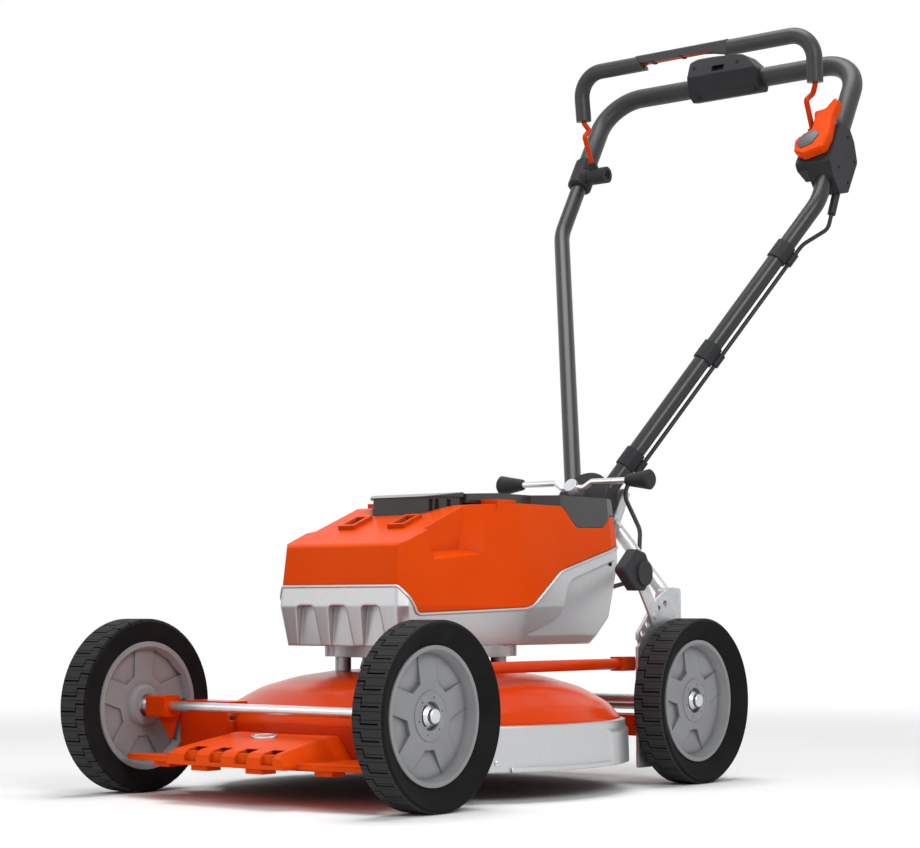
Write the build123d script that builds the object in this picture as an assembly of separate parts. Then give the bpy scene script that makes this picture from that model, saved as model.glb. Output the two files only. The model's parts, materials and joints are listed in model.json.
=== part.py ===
"""Push lawn mower with a domed cutter deck, a battery-electric power head and a single-stem handle.

Millimetres. X is across (the mower's left is +X), Y runs rearwards, Z is up.
The model is drawn about the ground point midway between the axles. Each node is moved
along Y on export, so that the origin lies under the middle of the whole machine.
"""
from build123d import *
from math import atan2, cos, degrees, hypot, radians, sin, tan
import os

# Running gear
WHEEL_D = 210.0
TYRE_W = 45.0
TYRE_SHOULDER = 4.0
SIDEWALL_DISH = 14.8
SIDEWALL_INNER = 3.0
RIM_D = 154.6
RIM_LIP_H = 3.3
RIM_LIP_W = 2.5
SPOKES = 5
SPOKE_W = 30.0
WEB_OUTER_A = -3.0
WEB_INNER_A = -13.0
HUB_FACE_A = 4.0
HUB_RING_R = 26.0
HUB_BORE_R = 16.0
HUB_SEAT_A = -2.0
HUB_DOTS = 6
POCKET_IN_R = 37.0
AXLE_END_A = 6.0
TREAD_PITCHES = 36
TREAD_GROOVE_W = 2.0
TREAD_GROOVE_D = 3.5
TREAD_BAND = 5.0
TREAD_INNER_W = 15.0
TRACK = 461.2
WHEELBASE = 536.8
AXLE_D = 12.0
BEARING_D = 28.0
BEARING_L = 18.0
NUT_D = 24.0

# Fits and clearances
RUN_FIT = 0.05
FREE_GAP = 0.5
PART_GAP = 0.8

# Cutting-height gear
ARM_REACH = 38.0
ARM_DROP = 8.0
ARM_T = 10.0
SLEEVE_HALF = 13.0
FRONT_PLATE_X = 180.0
PIN_D = 12.0
PIVOT_D = 16.0
LINK_RISE = 55.0
LINK_X = 165.0
LINK_D = 14.0
LINK_PIN_D = 10.0
LINK_EYE_D = 22.0
LINK_COLLAR = 18.0
LEVER_HOLE_R = 142.0
LEVER_HOLE_D = 9.0
LEVER_HOLES = 6
LEVER_HOLE_STEP = 6.6
LEVER_HOLE_SET = 4
LEVER_ANGLE = 125.2
LEVER_W = 20.0
LEVER_T = 3.0
LEVER_L = 216.0
KNOB_T = 14.0
KNOB_BOSS_D = 32.0
PLATE_X = 196.0
PLATE_T = 4.0

# Cutter deck
DECK_AXLE_GAP = 18.4
DECK_BOTTOM = 35.0
DECK_SKIRT_TOP = 88.0
DECK_TOP = 145.0
DECK_TOP_R = 108.0
DECK_BENDS = (12, 40, 100, 150)
DECK_WALL = 3.0
SKIRT_T = 5.0
SKIRT_HALF_ANGLE = 39.0
SKIRT_LIP = 5.0
SKIRT_STEP = (9.5, 12.5)
APRON_TOP = 50.0
APRON_T = 6.0
APRON_HALF_W = 203.0
APRON_HOOD_HALF_W = 88.0
APRON_REACH = 83.6
APRON_FOOT_W = 26.0
APRON_WING_X = 127.0
APRON_SLOT_W = 18.0
APRON_SLOTS = (-62, -22, 18, 58)

# Power head
MOUNT_R = 112.0
MOUNT_BOTTOM = 163.0
BODY_BOTTOM = 177.0
MOTOR_R = 74.0
MOTOR_LEGS = 4
MOTOR_WALL = 5.0
ADAPTER_R = 24.0
ADAPTER_H = 20.0
BOLT_D = 12.0
BOLT_HEAD_H = 8.0
SHAFT_D = 20.0
BLADE_TIP_GAP = 13.0
BLADE_W = 55.0
BLADE_T = 4.0
BLADE_Z = 50.0
BODY_WALL = 3.0
BODY_BELT = 225.0
BODY_UP_DRAFT = 6.0
BODY_DOWN_DRAFT = 12.0
BODY_HALF_W = 122.0
BODY_NOSE_HALF_W = 104.0
BODY_NOSE = -160.0
BODY_TAIL = 278.0
BODY_TOP = 354.0
ROOF_FRONT_Z = 298.0
ROOF_KNEE_Y = -20.0
GRIP_FLOOR = 88.0
SCOOP_D = 8.0
VENT_X = (-52, 0, 52)
VENT_L = 38.0
VENT_W = 26.0
VENT_FRAME = 5.0
VENT_Y = -80.0
LID_RISE = 14.0
LID_WALL = 4.0
LID_FRONT = -4.0
LID_HALF_W = 76.0
LID_HINGE_INSET = 8.0
LID_HINGE_RISE = 4.0
LID_TAIL_DROP = 8.0
LID_SWEEP = 2.0
LID_LUG_X = 68.0
LID_LUG_W = 12.0
LID_LUG_H = 24.0
LID_KNUCKLE_X = 34.0
LID_KNUCKLE_W = 30.0
LID_PIN_D = 6.0
LID_KNUCKLE_D = 12.0
BAY_HALF_W = 74.0
BAY_REAR = 234.0
BAY_FLOOR = 225.0
BAY_WALL = 3.0
BAY_RIM = 10.0
HOUSING_NOSE_HALF_W = 37.0
HOUSING_FRONT = -50.0
HOUSING_SHOULDER = -12.0
HOUSING_BOTTOM = 305.0

# Handle
TUBE_D = 24.0
TUBE_WALL = 2.0
GRIP_D = 30.0
STEM_X = 227.5
KNEE = Vector(STEM_X, 623.2, 807.4)
BAR_CORNER = Vector(STEM_X, 759.5, 1042.4)
KNEE_R = 75.0
CORNER_R = 62.0
FOOT_CENTRE = Vector(0, 362.9, 369.7)
FOOT_R = 42.0
FOOT_HALF_T = 15.0
HEAD_T = 4.0
HEAD_D = 14.0
HEAD_HALF_W = 45.0
HEAD_LOW = -50.0
HEAD_HIGH = 32.0
BOLT_HOLE_D = 12.0
YOKE_D = 18.0
CLAMP_ROD_D = 9.0
CLAMP_REACH = 88.0
CLAMP_KNOB_L = 40.0
CLAMP_STEM = 37.0
CLAMP_CRANK = (8.0, 2.0)
BOX_BOTTOM = 38.0
BOX_TOP = 131.0
CLAMP_MID = 119.0
CLAMP_H = 50.0
PIVOT_BACK = -6.8
PIVOT_UP = 109.0
PIVOT_INNER = -52.0
HUB_X = (-54.0, -21.5)
LEVER_PIVOT = (-12.0, 84.0)
THUMB_PIN_D = 10.0
BAIL_D = 24.0
BAIL_ROD_D = 8.0
BAIL_HALF_W = 209.0
BAIL_HUB_D = 26.0
BAIL_PIN_D = 14.0
BAIL_CORNER_R = 38.0
COVER_LEFT = 66.0
COVER_RIGHT = -100.0
COVER_SLANT = 17.0
COVER_RIBS = (-71, -18)
PANEL_HALF_W = 62.0
PANEL_RISE = 43.6
PANEL_TAPER = 26.0
PANEL_SLOT_X = (-19, 3)
BUTTON_D = 14.0
CABLE_D = 6.0
CABLE_OUT = 18.0
CLIP_L = 28.0
CLIP_PLACES = (0.16, 0.50, 0.83)
GLAND_D = 14.0

# Places worked out from the sizes above
AXLE_Z = WHEEL_D / 2
FRONT_Y = -WHEELBASE / 2
REAR_Y = WHEELBASE / 2
PIVOT_Z = AXLE_Z - ARM_DROP
FRONT_PIVOT_Y = FRONT_Y + ARM_REACH
REAR_PIVOT_Y = REAR_Y + ARM_REACH
LINK_Z = PIVOT_Z + LINK_RISE
DECK_R = WHEELBASE / 2 - DECK_AXLE_GAP
BLADE_L = 2 * (DECK_R - DECK_WALL - BLADE_TIP_GAP)
LID_HINGE_Y = BODY_TAIL - LID_HINGE_INSET
LID_HINGE_Z = BODY_TOP + LID_HINGE_RISE
TYRE_HALF = TYRE_W / 2
RIM_R = RIM_D / 2
RIM_SEAT_R = RIM_R - RIM_LIP_H
TYRE_INNER_X = TRACK / 2 - TYRE_HALF
ARM_X = TYRE_INNER_X - 20.0
FRAME_SHIFT = (BAR_CORNER.Y + GRIP_D / 2 - WHEELBASE / 2 - WHEEL_D / 2) / 2

# Directions of the handle: the legs' plane, its normal, and the upper stretch of the tube
LEG_UP = Vector(0, KNEE.Y - FOOT_CENTRE.Y, KNEE.Z - FOOT_CENTRE.Z).normalized()
LEG_NORMAL = Vector(0, -LEG_UP.Z, LEG_UP.Y)
STEM_UP = (BAR_CORNER - KNEE).normalized()
STEM_FRONT = Vector(0, -STEM_UP.Z, STEM_UP.Y).normalized()

nodes = {}


def keep(name, *pieces):
    """Store one node, made of one or more separate solids."""
    nodes[name] = list(pieces)


def bar_x(x0, x1, y, z, diameter):
    """Round bar along X between x0 and x1."""
    return Pos((x0 + x1) / 2, y, z) * Rot(0, 90, 0) * Cylinder(diameter / 2, abs(x1 - x0))


def upright(radius, z0, z1):
    """Round bar along Z on the blade's axis, between z0 and z1."""
    return Pos(0, 0, (z0 + z1) / 2) * Cylinder(radius, z1 - z0)


def block(x0, x1, y0, y1, z0, z1):
    """Box between two corners."""
    return Pos((x0 + x1) / 2, (y0 + y1) / 2, (z0 + z1) / 2) * Box(x1 - x0, y1 - y0, z1 - z0)


def plate_x(x0, x1, outline):
    """Flat plate normal to X, cut to an outline of (y, z) points or a sketch drawn in (y, z)."""
    sketch = outline if isinstance(outline, Sketch) else Polygon(*outline, align=None)
    return Pos(x0, 0, 0) * extrude(Plane.YZ * sketch, x1 - x0, dir=(1, 0, 0))


def turned_x(points):
    """Solid of revolution about X from (x, radius) points."""
    return revolve(Polygon(*points, align=None), Axis.X)


def turned_z(outline):
    """Solid of revolution about Z from (radius, z) points or a sketch drawn in (radius, z)."""
    sketch = outline if isinstance(outline, Sketch) else Polygon(*outline, align=None)
    return revolve(Plane.XZ * sketch, Axis.Z)


def mirrored(shape):
    """The same piece on the mower's other side."""
    return mirror(shape, about=Plane.YZ)


def tube(points, radii, outer, inner=0.0):
    """Round bar or tube swept along straight runs joined by arcs."""
    path = FilletPolyline(*points, radius=radii) if radii else Polyline(*points)
    start = Plane(path @ 0, z_dir=path % 0)
    solid = sweep(start * Circle(outer / 2), path=path)
    if inner:
        solid -= sweep(start * Circle(inner / 2), path=path)
    return solid


def rounded(points, radii):
    """Closed outline with an arc at each corner whose radius isn't zero."""
    face = Polygon(*points, align=None)
    for point, radius in zip(points, radii):
        if radius:
            corner = face.vertices().sort_by_distance(Vector(*point))[0]
            face = fillet(corner, radius)
    return face


# Wheels, drawn about their own centre with the outer side towards +X
def tyre_blank():
    outer_seat = TYRE_HALF - SIDEWALL_DISH
    inner_seat = -TYRE_HALF + SIDEWALL_INNER
    radius = WHEEL_D / 2
    shoulder = radius - TYRE_SHOULDER
    ring = turned_x([(outer_seat, RIM_SEAT_R), (outer_seat, RIM_R), (TYRE_HALF, shoulder),
                     (TYRE_HALF - TYRE_SHOULDER, radius), (-TYRE_HALF + TYRE_SHOULDER, radius),
                     (-TYRE_HALF, shoulder), (inner_seat, RIM_R), (inner_seat, RIM_SEAT_R)])
    return ring - tread_grooves(radius)


def tread_grooves(radius):
    """Stepped grooves right round the tread, open at the inner edge."""
    quarter = radians(360 / TREAD_PITCHES) * radius / 4
    half = TREAD_GROOVE_W / 2
    inner = -TYRE_HALF - 1
    step = -TYRE_HALF + TREAD_INNER_W
    outer = TYRE_HALF - TREAD_BAND
    groove = Polygon((inner, quarter - half), (step - half, quarter - half), (step - half, -quarter - half),
                     (outer, -quarter - half), (outer, -quarter + half), (step + half, -quarter + half),
                     (step + half, quarter + half), (inner, quarter + half), align=None)
    cutter = Pos(0, 0, radius - TREAD_GROOVE_D) * extrude(groove, TREAD_GROOVE_D + 2, dir=(0, 0, 1))
    return [Rot(360 * count / TREAD_PITCHES, 0, 0) * cutter for count in range(TREAD_PITCHES)]


RIM_OUTER_A = TYRE_HALF - SIDEWALL_DISH
RIM_INNER_A = -TYRE_HALF + SIDEWALL_INNER
RIM_WALL_R = RIM_R - 8.8
HUB_INNER_A = HUB_SEAT_A - BEARING_L


def rim_blank():
    bearing_r = BEARING_D / 2
    rim = turned_x([(RIM_OUTER_A, RIM_SEAT_R), (RIM_OUTER_A, RIM_R), (RIM_OUTER_A + RIM_LIP_W, RIM_R),
                    (RIM_OUTER_A + RIM_LIP_W, RIM_R - 4.8), (WEB_OUTER_A, RIM_WALL_R),
                    (HUB_FACE_A - 1, HUB_RING_R + 4), (HUB_FACE_A, HUB_RING_R), (HUB_FACE_A, HUB_BORE_R),
                    (HUB_SEAT_A, HUB_BORE_R), (HUB_SEAT_A, bearing_r), (HUB_INNER_A, bearing_r),
                    (HUB_INNER_A, bearing_r + 8), (WEB_INNER_A, bearing_r + 12),
                    (WEB_INNER_A, RIM_WALL_R - 2), (RIM_INNER_A - RIM_LIP_W, RIM_R - 6),
                    (RIM_INNER_A - RIM_LIP_W, RIM_R), (RIM_INNER_A, RIM_R), (RIM_INNER_A, RIM_SEAT_R)])
    return rim - wheel_pockets()


def wheel_pockets():
    """Recesses between the spokes on both faces, and the small holes in the hub ring."""
    spread = tan(radians(180 / SPOKES))
    side = SPOKE_W / 2 / cos(radians(180 / SPOKES))
    out_r = RIM_WALL_R - 5
    inner_half = POCKET_IN_R * spread - side
    outer_half = out_r * spread - side
    pocket = Polygon((POCKET_IN_R, -inner_half), (out_r, -outer_half), (out_r + 4, 0),
                     (out_r, outer_half), (POCKET_IN_R, inner_half), align=None)
    cuts = []
    for count in range(SPOKES):
        turn = Rot(360 * count / SPOKES - 90, 0, 0)
        cuts.append(turn * extrude(Plane.YZ.offset(WEB_OUTER_A - 0.5) * pocket, 12, dir=(1, 0, 0)))
        cuts.append(turn * extrude(Plane.YZ.offset(WEB_INNER_A - 9.5) * pocket, 12, dir=(1, 0, 0)))
    for count in range(HUB_DOTS):
        turn = Rot(360 * count / HUB_DOTS + 15, 0, 0)
        cuts.append(turn * bar_x(HUB_FACE_A - 1.5, HUB_FACE_A + 1, HUB_RING_R - 5, 0, 2))
    return cuts


def bearing_blank():
    outer = BEARING_D / 2 - RUN_FIT
    inner = AXLE_D / 2
    return turned_x([(HUB_INNER_A, inner), (HUB_SEAT_A, inner), (HUB_SEAT_A, outer), (HUB_INNER_A, outer)])


def nut_blank():
    seat = HUB_SEAT_A + FREE_GAP
    bore = AXLE_D / 2
    edge = NUT_D / 2
    return turned_x([(seat, bore), (seat, edge), (seat + 4, edge), (seat + 7.5, edge - 3.5),
                     (AXLE_END_A + 4, edge - 3.5), (AXLE_END_A + 5, edge - 4.5), (AXLE_END_A + 5, 0),
                     (AXLE_END_A, 0), (AXLE_END_A, bore)])


def make_wheels():
    turning = {"tyre": tyre_blank(), "rim": rim_blank()}
    fixed = {"bearings": bearing_blank(), "axle_nuts": nut_blank()}
    for end, y in (("front", FRONT_Y), ("rear", REAR_Y)):
        for part, blank in turning.items():
            left = Pos(TRACK / 2, y, AXLE_Z) * blank
            keep(f"{end}_left_{part}", left)
            keep(f"{end}_right_{part}", mirrored(left))
        for part, blank in fixed.items():
            left = Pos(TRACK / 2, y, AXLE_Z) * blank
            keep(f"{end}_{part}", left, mirrored(left))


# Axles, swing arms and the cutting-height gear
COLLAR_D = AXLE_D + 6.0
REAR_ARM_X = PLATE_X - 8.0


def axle_rod(y, sleeve_end):
    """Axle with a turned collar at each end that keeps the bearing off the arm."""
    half = TRACK / 2
    collar = bar_x(sleeve_end, half + HUB_INNER_A - FREE_GAP, y, AXLE_Z, COLLAR_D)
    return bar_x(-half - AXLE_END_A, half + AXLE_END_A, y, AXLE_Z, AXLE_D) + collar + mirrored(collar)


def arm_outline(pivot_y, axle_y, lug):
    """Swing arm in side view: a boss at the pivot, one at the axle and, with lug, one at the link."""
    def leg(y0, z0, y1, z1, width):
        length = hypot(y1 - y0, z1 - z0)
        lean = degrees(atan2(z1 - z0, y1 - y0))
        return Pos((y0 + y1) / 2, (z0 + z1) / 2) * Rot(0, 0, lean) * SlotCenterToCenter(length, width)

    outline = leg(pivot_y, PIVOT_Z, axle_y, AXLE_Z, 2 * SLEEVE_HALF)
    if lug:
        outline += leg(pivot_y, PIVOT_Z, pivot_y, LINK_Z, LINK_EYE_D)
    return outline


def front_arm(lug):
    """Pressed front arm: a box round the axle, a plate to the pivot and a hanging gusset."""
    x1 = ARM_X + ARM_T
    axle_box = block(FRONT_PLATE_X - 12, x1 + 2, FRONT_Y - SLEEVE_HALF, FRONT_Y + SLEEVE_HALF,
                     AXLE_Z - SLEEVE_HALF, AXLE_Z + SLEEVE_HALF)
    axle_box = fillet(axle_box.edges().filter_by(Axis.X), 4)
    web = plate_x(ARM_X, x1, arm_outline(FRONT_PIVOT_Y, FRONT_Y, lug))
    gusset_line = [(FRONT_PLATE_X - 12, AXLE_Z - 12), (x1 + 2, AXLE_Z - 12), (FRONT_PLATE_X - 4, AXLE_Z - 40)]
    gusset = extrude(Plane.XZ.offset(-FRONT_Y - 6) * Polygon(*gusset_line, align=None), 4, dir=(0, 1, 0))
    arm = axle_box + web + gusset
    arm -= bar_x(0, x1 + 5, FRONT_Y, AXLE_Z, AXLE_D)
    arm -= bar_x(ARM_X - 5, x1 + 5, FRONT_PIVOT_Y, PIVOT_Z, PIN_D + 2 * RUN_FIT)
    if lug:
        arm += bar_x(LINK_X - LINK_D / 2 - 3, ARM_X + 1, FRONT_PIVOT_Y, LINK_Z, LINK_PIN_D)
    return arm


def rear_arm(lug):
    x0 = REAR_ARM_X - ARM_T
    arm = plate_x(x0, REAR_ARM_X, arm_outline(REAR_PIVOT_Y, REAR_Y, lug))
    arm -= bar_x(x0 - 1, REAR_ARM_X + 1, REAR_Y, AXLE_Z, AXLE_D)
    arm -= bar_x(x0 - 1, REAR_ARM_X + 1, REAR_PIVOT_Y, PIVOT_Z, PIVOT_D)
    if lug:
        arm += bar_x(LINK_X - LINK_D / 2 - 3, x0 + 1, REAR_PIVOT_Y, LINK_Z, LINK_PIN_D)
    return arm


def link_rod():
    """Rod with an eye at each end; the front eye has the open pivot's larger clearance."""
    half = LINK_D / 2
    rod = Pos(LINK_X, (FRONT_PIVOT_Y + REAR_PIVOT_Y) / 2, LINK_Z) * Rot(90, 0, 0)
    rod = rod * Cylinder(half, REAR_PIVOT_Y - FRONT_PIVOT_Y)
    collar_y = REAR_PIVOT_Y - 114.4
    rod += block(LINK_X - LINK_COLLAR / 2, LINK_X + LINK_COLLAR / 2, collar_y, collar_y + 30,
                 LINK_Z - LINK_COLLAR / 2, LINK_Z + LINK_COLLAR / 2)
    for y, gap in ((FRONT_PIVOT_Y, FREE_GAP), (REAR_PIVOT_Y, RUN_FIT)):
        rod += bar_x(LINK_X - half + 1, LINK_X + half - 1, y, LINK_Z, LINK_EYE_D)
        rod -= bar_x(LINK_X - half - 1, LINK_X + half + 1, y, LINK_Z, LINK_PIN_D + 2 * gap)
    return rod


def lever_point(reach, angle):
    """Place on the lever's swing, in (y, z), at a reach and an angle about the rear pivot."""
    return (REAR_PIVOT_Y + reach * cos(radians(angle)), PIVOT_Z + reach * sin(radians(angle)))


def height_lever():
    x0 = PLATE_X + PLATE_T + 1.0
    middle = lever_point(LEVER_L / 2, LEVER_ANGLE)
    bar = Pos(*middle) * Rot(0, 0, LEVER_ANGLE) * SlotCenterToCenter(LEVER_L, LEVER_W)
    lever = plate_x(x0, x0 + LEVER_T, bar)
    pin_y, pin_z = lever_point(LEVER_HOLE_R, LEVER_ANGLE)
    lever += bar_x(x0, x0 + LEVER_T + 1.5, pin_y, pin_z, LEVER_HOLE_D - 1)
    return lever - bar_x(x0 - 1, x0 + LEVER_T + 1, REAR_PIVOT_Y, PIVOT_Z, PIVOT_D)


def height_knob():
    """Five-sided moulded knob on the lever's outer end, with a round thumb disc."""
    x0 = PLATE_X + PLATE_T + 1.0 + LEVER_T
    y, z = lever_point(LEVER_L - 8, LEVER_ANGLE)
    outline = rounded([(y - 46, z + 4), (y - 15, z + 31), (y + 6, z + 26), (y + 22, z - 2), (y + 4, z - 22),
                       (y - 16, z - 22)], [5, 5, 5, 6, 6, 5])
    knob = plate_x(x0 - LEVER_T - 4, x0 + KNOB_T - 6, outline)
    knob = chamfer(knob.edges().group_by(Axis.X)[-1], 2)
    knob += bar_x(x0, x0 + KNOB_T - 3, y, z, KNOB_BOSS_D)
    return knob - height_lever()


def make_height_gear():
    keep("front_axle", axle_rod(FRONT_Y, ARM_X + ARM_T + 2))
    keep("front_arms", front_arm(True), mirrored(front_arm(False)))
    keep("rear_axle", axle_rod(REAR_Y, REAR_ARM_X))
    keep("rear_arms", rear_arm(True), mirrored(rear_arm(False)))
    lever_end = PLATE_X + PLATE_T + 1.0 + LEVER_T
    keep("rear_pivot_shaft", bar_x(-PLATE_X - PLATE_T - 2, lever_end, REAR_PIVOT_Y, PIVOT_Z, PIVOT_D))
    keep("link_rod", link_rod())
    keep("height_lever", height_lever())
    keep("height_knob", height_knob())


# Cutter deck, skirts, apron and brackets
def deck_profile(inset):
    """Outer line of the domed deck in (radius, z), moved inwards by inset."""
    return [(DECK_R - inset, DECK_BOTTOM), (DECK_R - inset, DECK_SKIRT_TOP - inset),
            (DECK_R - 16 - inset, DECK_SKIRT_TOP + 18 - inset), (DECK_R - 50 - inset, DECK_TOP - 20 - inset),
            (DECK_R - 95 - inset, DECK_TOP - 7 - inset), (DECK_TOP_R, DECK_TOP - inset)]


def deck_solid(inset, extra=0.0):
    low = DECK_BOTTOM - extra
    line = deck_profile(inset)[1:] + [(0, DECK_TOP - inset), (0, low), (DECK_R - inset, low)]
    return turned_z(rounded(line, DECK_BENDS + (0, 0, 0, 0)))


REAR_EAR_Y = (REAR_PIVOT_Y - 116.4, REAR_PIVOT_Y - 70.4)
EAR_Z = (62.0, DECK_SKIRT_TOP)
FRONT_EAR_Y = (FRONT_PIVOT_Y - 5.6, FRONT_PIVOT_Y + 34.4)


def cutter_deck():
    """Domed shell with four welded ears that carry the axle brackets."""
    ear = block(100, PLATE_X, *REAR_EAR_Y, *EAR_Z) + block(100, FRONT_PLATE_X, *FRONT_EAR_Y, *EAR_Z)
    shell = deck_solid(0) + ear + mirrored(ear)
    shell -= deck_solid(DECK_WALL, 1)
    return shell - Cylinder(SHAFT_D / 2 + 6, 3 * DECK_TOP)


def side_skirt():
    """Moulded side guard, wrapped round the deck between the wheels."""
    outer = DECK_R + SKIRT_T
    ring = turned_z([(DECK_R, DECK_BOTTOM), (outer + 2, DECK_BOTTOM), (outer, DECK_SKIRT_TOP - 2),
                     (DECK_R, DECK_SKIRT_TOP)])
    lip = turned_z([(DECK_R + 2, DECK_BOTTOM), (outer + SKIRT_LIP, DECK_BOTTOM),
                    (outer + SKIRT_LIP - 1, DECK_BOTTOM + 5), (DECK_R + 2, DECK_BOTTOM + 8)])
    thick = turned_z([(DECK_R + 2, DECK_BOTTOM), (outer + SKIRT_LIP, DECK_BOTTOM),
                      (outer + SKIRT_LIP - 1, DECK_SKIRT_TOP - 14), (DECK_R + 2, DECK_SKIRT_TOP - 6)])
    full = wedge(SKIRT_HALF_ANGLE, polar(2 * DECK_R, -SKIRT_HALF_ANGLE))
    lipped = wedge(SKIRT_HALF_ANGLE - 14, polar(2 * DECK_R, 12 - SKIRT_HALF_ANGLE))
    foot = Vector(*polar(outer, SKIRT_STEP[0]))
    slope = Vector(*polar(outer + SKIRT_LIP, SKIRT_STEP[1])) - foot
    behind = foot + slope * 12
    stepped = wedge(SKIRT_HALF_ANGLE - 2, (foot.X, foot.Y), (behind.X, behind.Y))
    return (ring & full) + (lip & lipped) + (thick & stepped)


def polar(radius, angle):
    """Point (x, y) at a radius and an angle behind the +X direction."""
    return (radius * cos(radians(angle)), radius * sin(radians(angle)))


def wedge(rear, *front):
    """Upright wedge from the blade's axis, between a front line and rear degrees behind +X."""
    plan = Polygon((0, 0), *front, polar(3 * DECK_R, rear / 2), polar(2 * DECK_R, rear), align=None)
    return extrude(plan, DECK_TOP, dir=(0, 0, 1))


def front_apron():
    """Toothed front guard: two wings, a raised hood between them and four runner feet."""
    nose = FRONT_Y - APRON_REACH
    back = FRONT_EAR_Y[1]
    waist = FRONT_Y - 11.6
    half = [(APRON_WING_X, FRONT_Y - 60.6), (APRON_HALF_W, FRONT_Y - 45.6), (170, waist), (150, back)]
    wing = rounded(half + [(-x, y) for x, y in reversed(half)], [0, 6, 0, 0, 0, 0, 6, 0])
    apron = extrude(Plane.XY.offset(APRON_TOP - APRON_T) * wing, APRON_T, dir=(0, 0, 1))
    knee = FRONT_Y + 13.4
    side_line = [(nose + 2, APRON_TOP - APRON_T), (nose, APRON_TOP + 6), (nose + 8, APRON_TOP + 12),
                 (nose + 54, APRON_TOP + 20), (knee, APRON_TOP + 27), (back, APRON_TOP + 27),
                 (back, APRON_TOP - APRON_T)]
    foot_half = APRON_HOOD_HALF_W + 4
    top_half = APRON_HOOD_HALF_W - 22
    hood = plate_x(-foot_half, foot_half, side_line)
    front_line = [(-foot_half, 0), (foot_half, 0), (foot_half, APRON_TOP - 2), (top_half, APRON_TOP + 40),
                  (-top_half, APRON_TOP + 40), (-foot_half, APRON_TOP - 2)]
    hood &= extrude(Plane.XZ * Polygon(*front_line, align=None), -2 * nose, dir=(0, -1, 0))
    hollow = plate_x(-top_half, top_half, [(nose + 16, 0), (nose + 16, APRON_TOP + 6), (knee, APRON_TOP + 20),
                                           (back - 8, APRON_TOP + 20), (back - 8, 0)])
    for x in APRON_SLOTS:
        hood -= block(x, x + APRON_SLOT_W, nose - 1, nose + 5, APRON_TOP - 1, APRON_TOP + 14)
        hood -= block(x, x + APRON_SLOT_W, nose - 1, nose + 26, APRON_TOP + 10, APRON_TOP + 14)
    apron = apron + hood - hollow
    foot_w = APRON_FOOT_W / 2
    for x, y in ((43, nose + 6), (APRON_WING_X, nose + 28)):
        foot = block(x - foot_w, x + foot_w, y, y + 22, APRON_TOP - 12, APRON_TOP - APRON_T)
        apron += foot + mirrored(foot)
    return apron - deck_solid(0, 1)


def front_bracket():
    """Pressed bracket that carries the front arm's pivot pin."""
    x0 = 104.0
    x1 = FRONT_PLATE_X + PLATE_T
    y0 = FRONT_PIVOT_Y - 8
    wall = block(x0, x1, y0, y0 + PLATE_T, APRON_TOP, PIVOT_Z + 14)
    cheek = block(FRONT_PLATE_X, x1, y0, FRONT_EAR_Y[1], APRON_TOP, PIVOT_Z + 14)
    flange = block(x0, x1, y0, y0 + 34, PIVOT_Z + 14 - PLATE_T, PIVOT_Z + 14)
    bracket = wall + cheek + flange - deck_solid(0)
    bracket -= block(0, FRONT_PLATE_X, *FRONT_EAR_Y, *EAR_Z)
    return bracket - bar_x(x0, x1 + 1, FRONT_PIVOT_Y, PIVOT_Z, PIN_D)


def rear_bracket(outline_holes):
    """Side plate with the pivot bush hole, the axle's curved slot and the arc of height holes."""
    y0 = REAR_EAR_Y[0]
    y1 = REAR_PIVOT_Y + 29.6
    outline = rounded([(y0, 22), (y0, 191), (y0 + 43, 234), (y0 + 72, 249), (y0 + 101, 249), (y0 + 101, 205),
                       (y1, 140), (y1, 70), (REAR_PIVOT_Y, 40), (y0 + 35, 22)],
                      [2, 6, 4, 20, 6, 10, 12, 12, 10, 4])
    plate = plate_x(PLATE_X, PLATE_X + PLATE_T, outline)
    plate -= bar_x(PLATE_X - 1, PLATE_X + PLATE_T + 1, REAR_PIVOT_Y, PIVOT_Z, PIVOT_D + 2 * RUN_FIT)
    for turn in range(-18, 27, 3):
        y, z = turned_about_pivot(REAR_Y, AXLE_Z, turn)
        plate -= bar_x(PLATE_X - 1, PLATE_X + PLATE_T + 1, y, z, COLLAR_D + 3)
    if outline_holes:
        for count in range(LEVER_HOLES):
            turn = LEVER_ANGLE + (LEVER_HOLE_SET - 1 - count) * LEVER_HOLE_STEP
            y, z = lever_point(LEVER_HOLE_R, turn)
            plate -= bar_x(PLATE_X - 1, PLATE_X + PLATE_T + 1, y, z, LEVER_HOLE_D)
    return plate


def turned_about_pivot(y, z, turn):
    """Place of a point of the rear crank after a turn about the rear pivot."""
    dy = y - REAR_PIVOT_Y
    dz = z - PIVOT_Z
    c = cos(radians(turn))
    s = sin(radians(turn))
    return REAR_PIVOT_Y + dy * c - dz * s, PIVOT_Z + dy * s + dz * c


def make_chassis():
    keep("cutter_deck", cutter_deck())
    skirt = side_skirt()
    keep("side_skirts", skirt, mirrored(skirt))
    keep("front_apron", front_apron())
    bracket = front_bracket()
    keep("front_brackets", bracket, mirrored(bracket))
    pin = bar_x(FRONT_PLATE_X, ARM_X + ARM_T + 2, FRONT_PIVOT_Y, PIVOT_Z, PIN_D)
    keep("front_pivot_pins", pin, mirrored(pin))
    keep("rear_brackets", rear_bracket(True), mirrored(rear_bracket(False)))


# Power head


def hood_plan():
    """Plan of the power head at its belt line."""
    half = [(BODY_NOSE_HALF_W - 12, BODY_NOSE), (BODY_NOSE_HALF_W, BODY_NOSE + 12), (BODY_HALF_W, 60),
            (BODY_HALF_W, BODY_TAIL - 20), (BODY_HALF_W - 8, BODY_TAIL + 14)]
    points = half + [(-x, y) for x, y in reversed(half)]
    radii = [8, 8, 120, 15, 10]
    return rounded(points, radii + radii[::-1])


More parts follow.
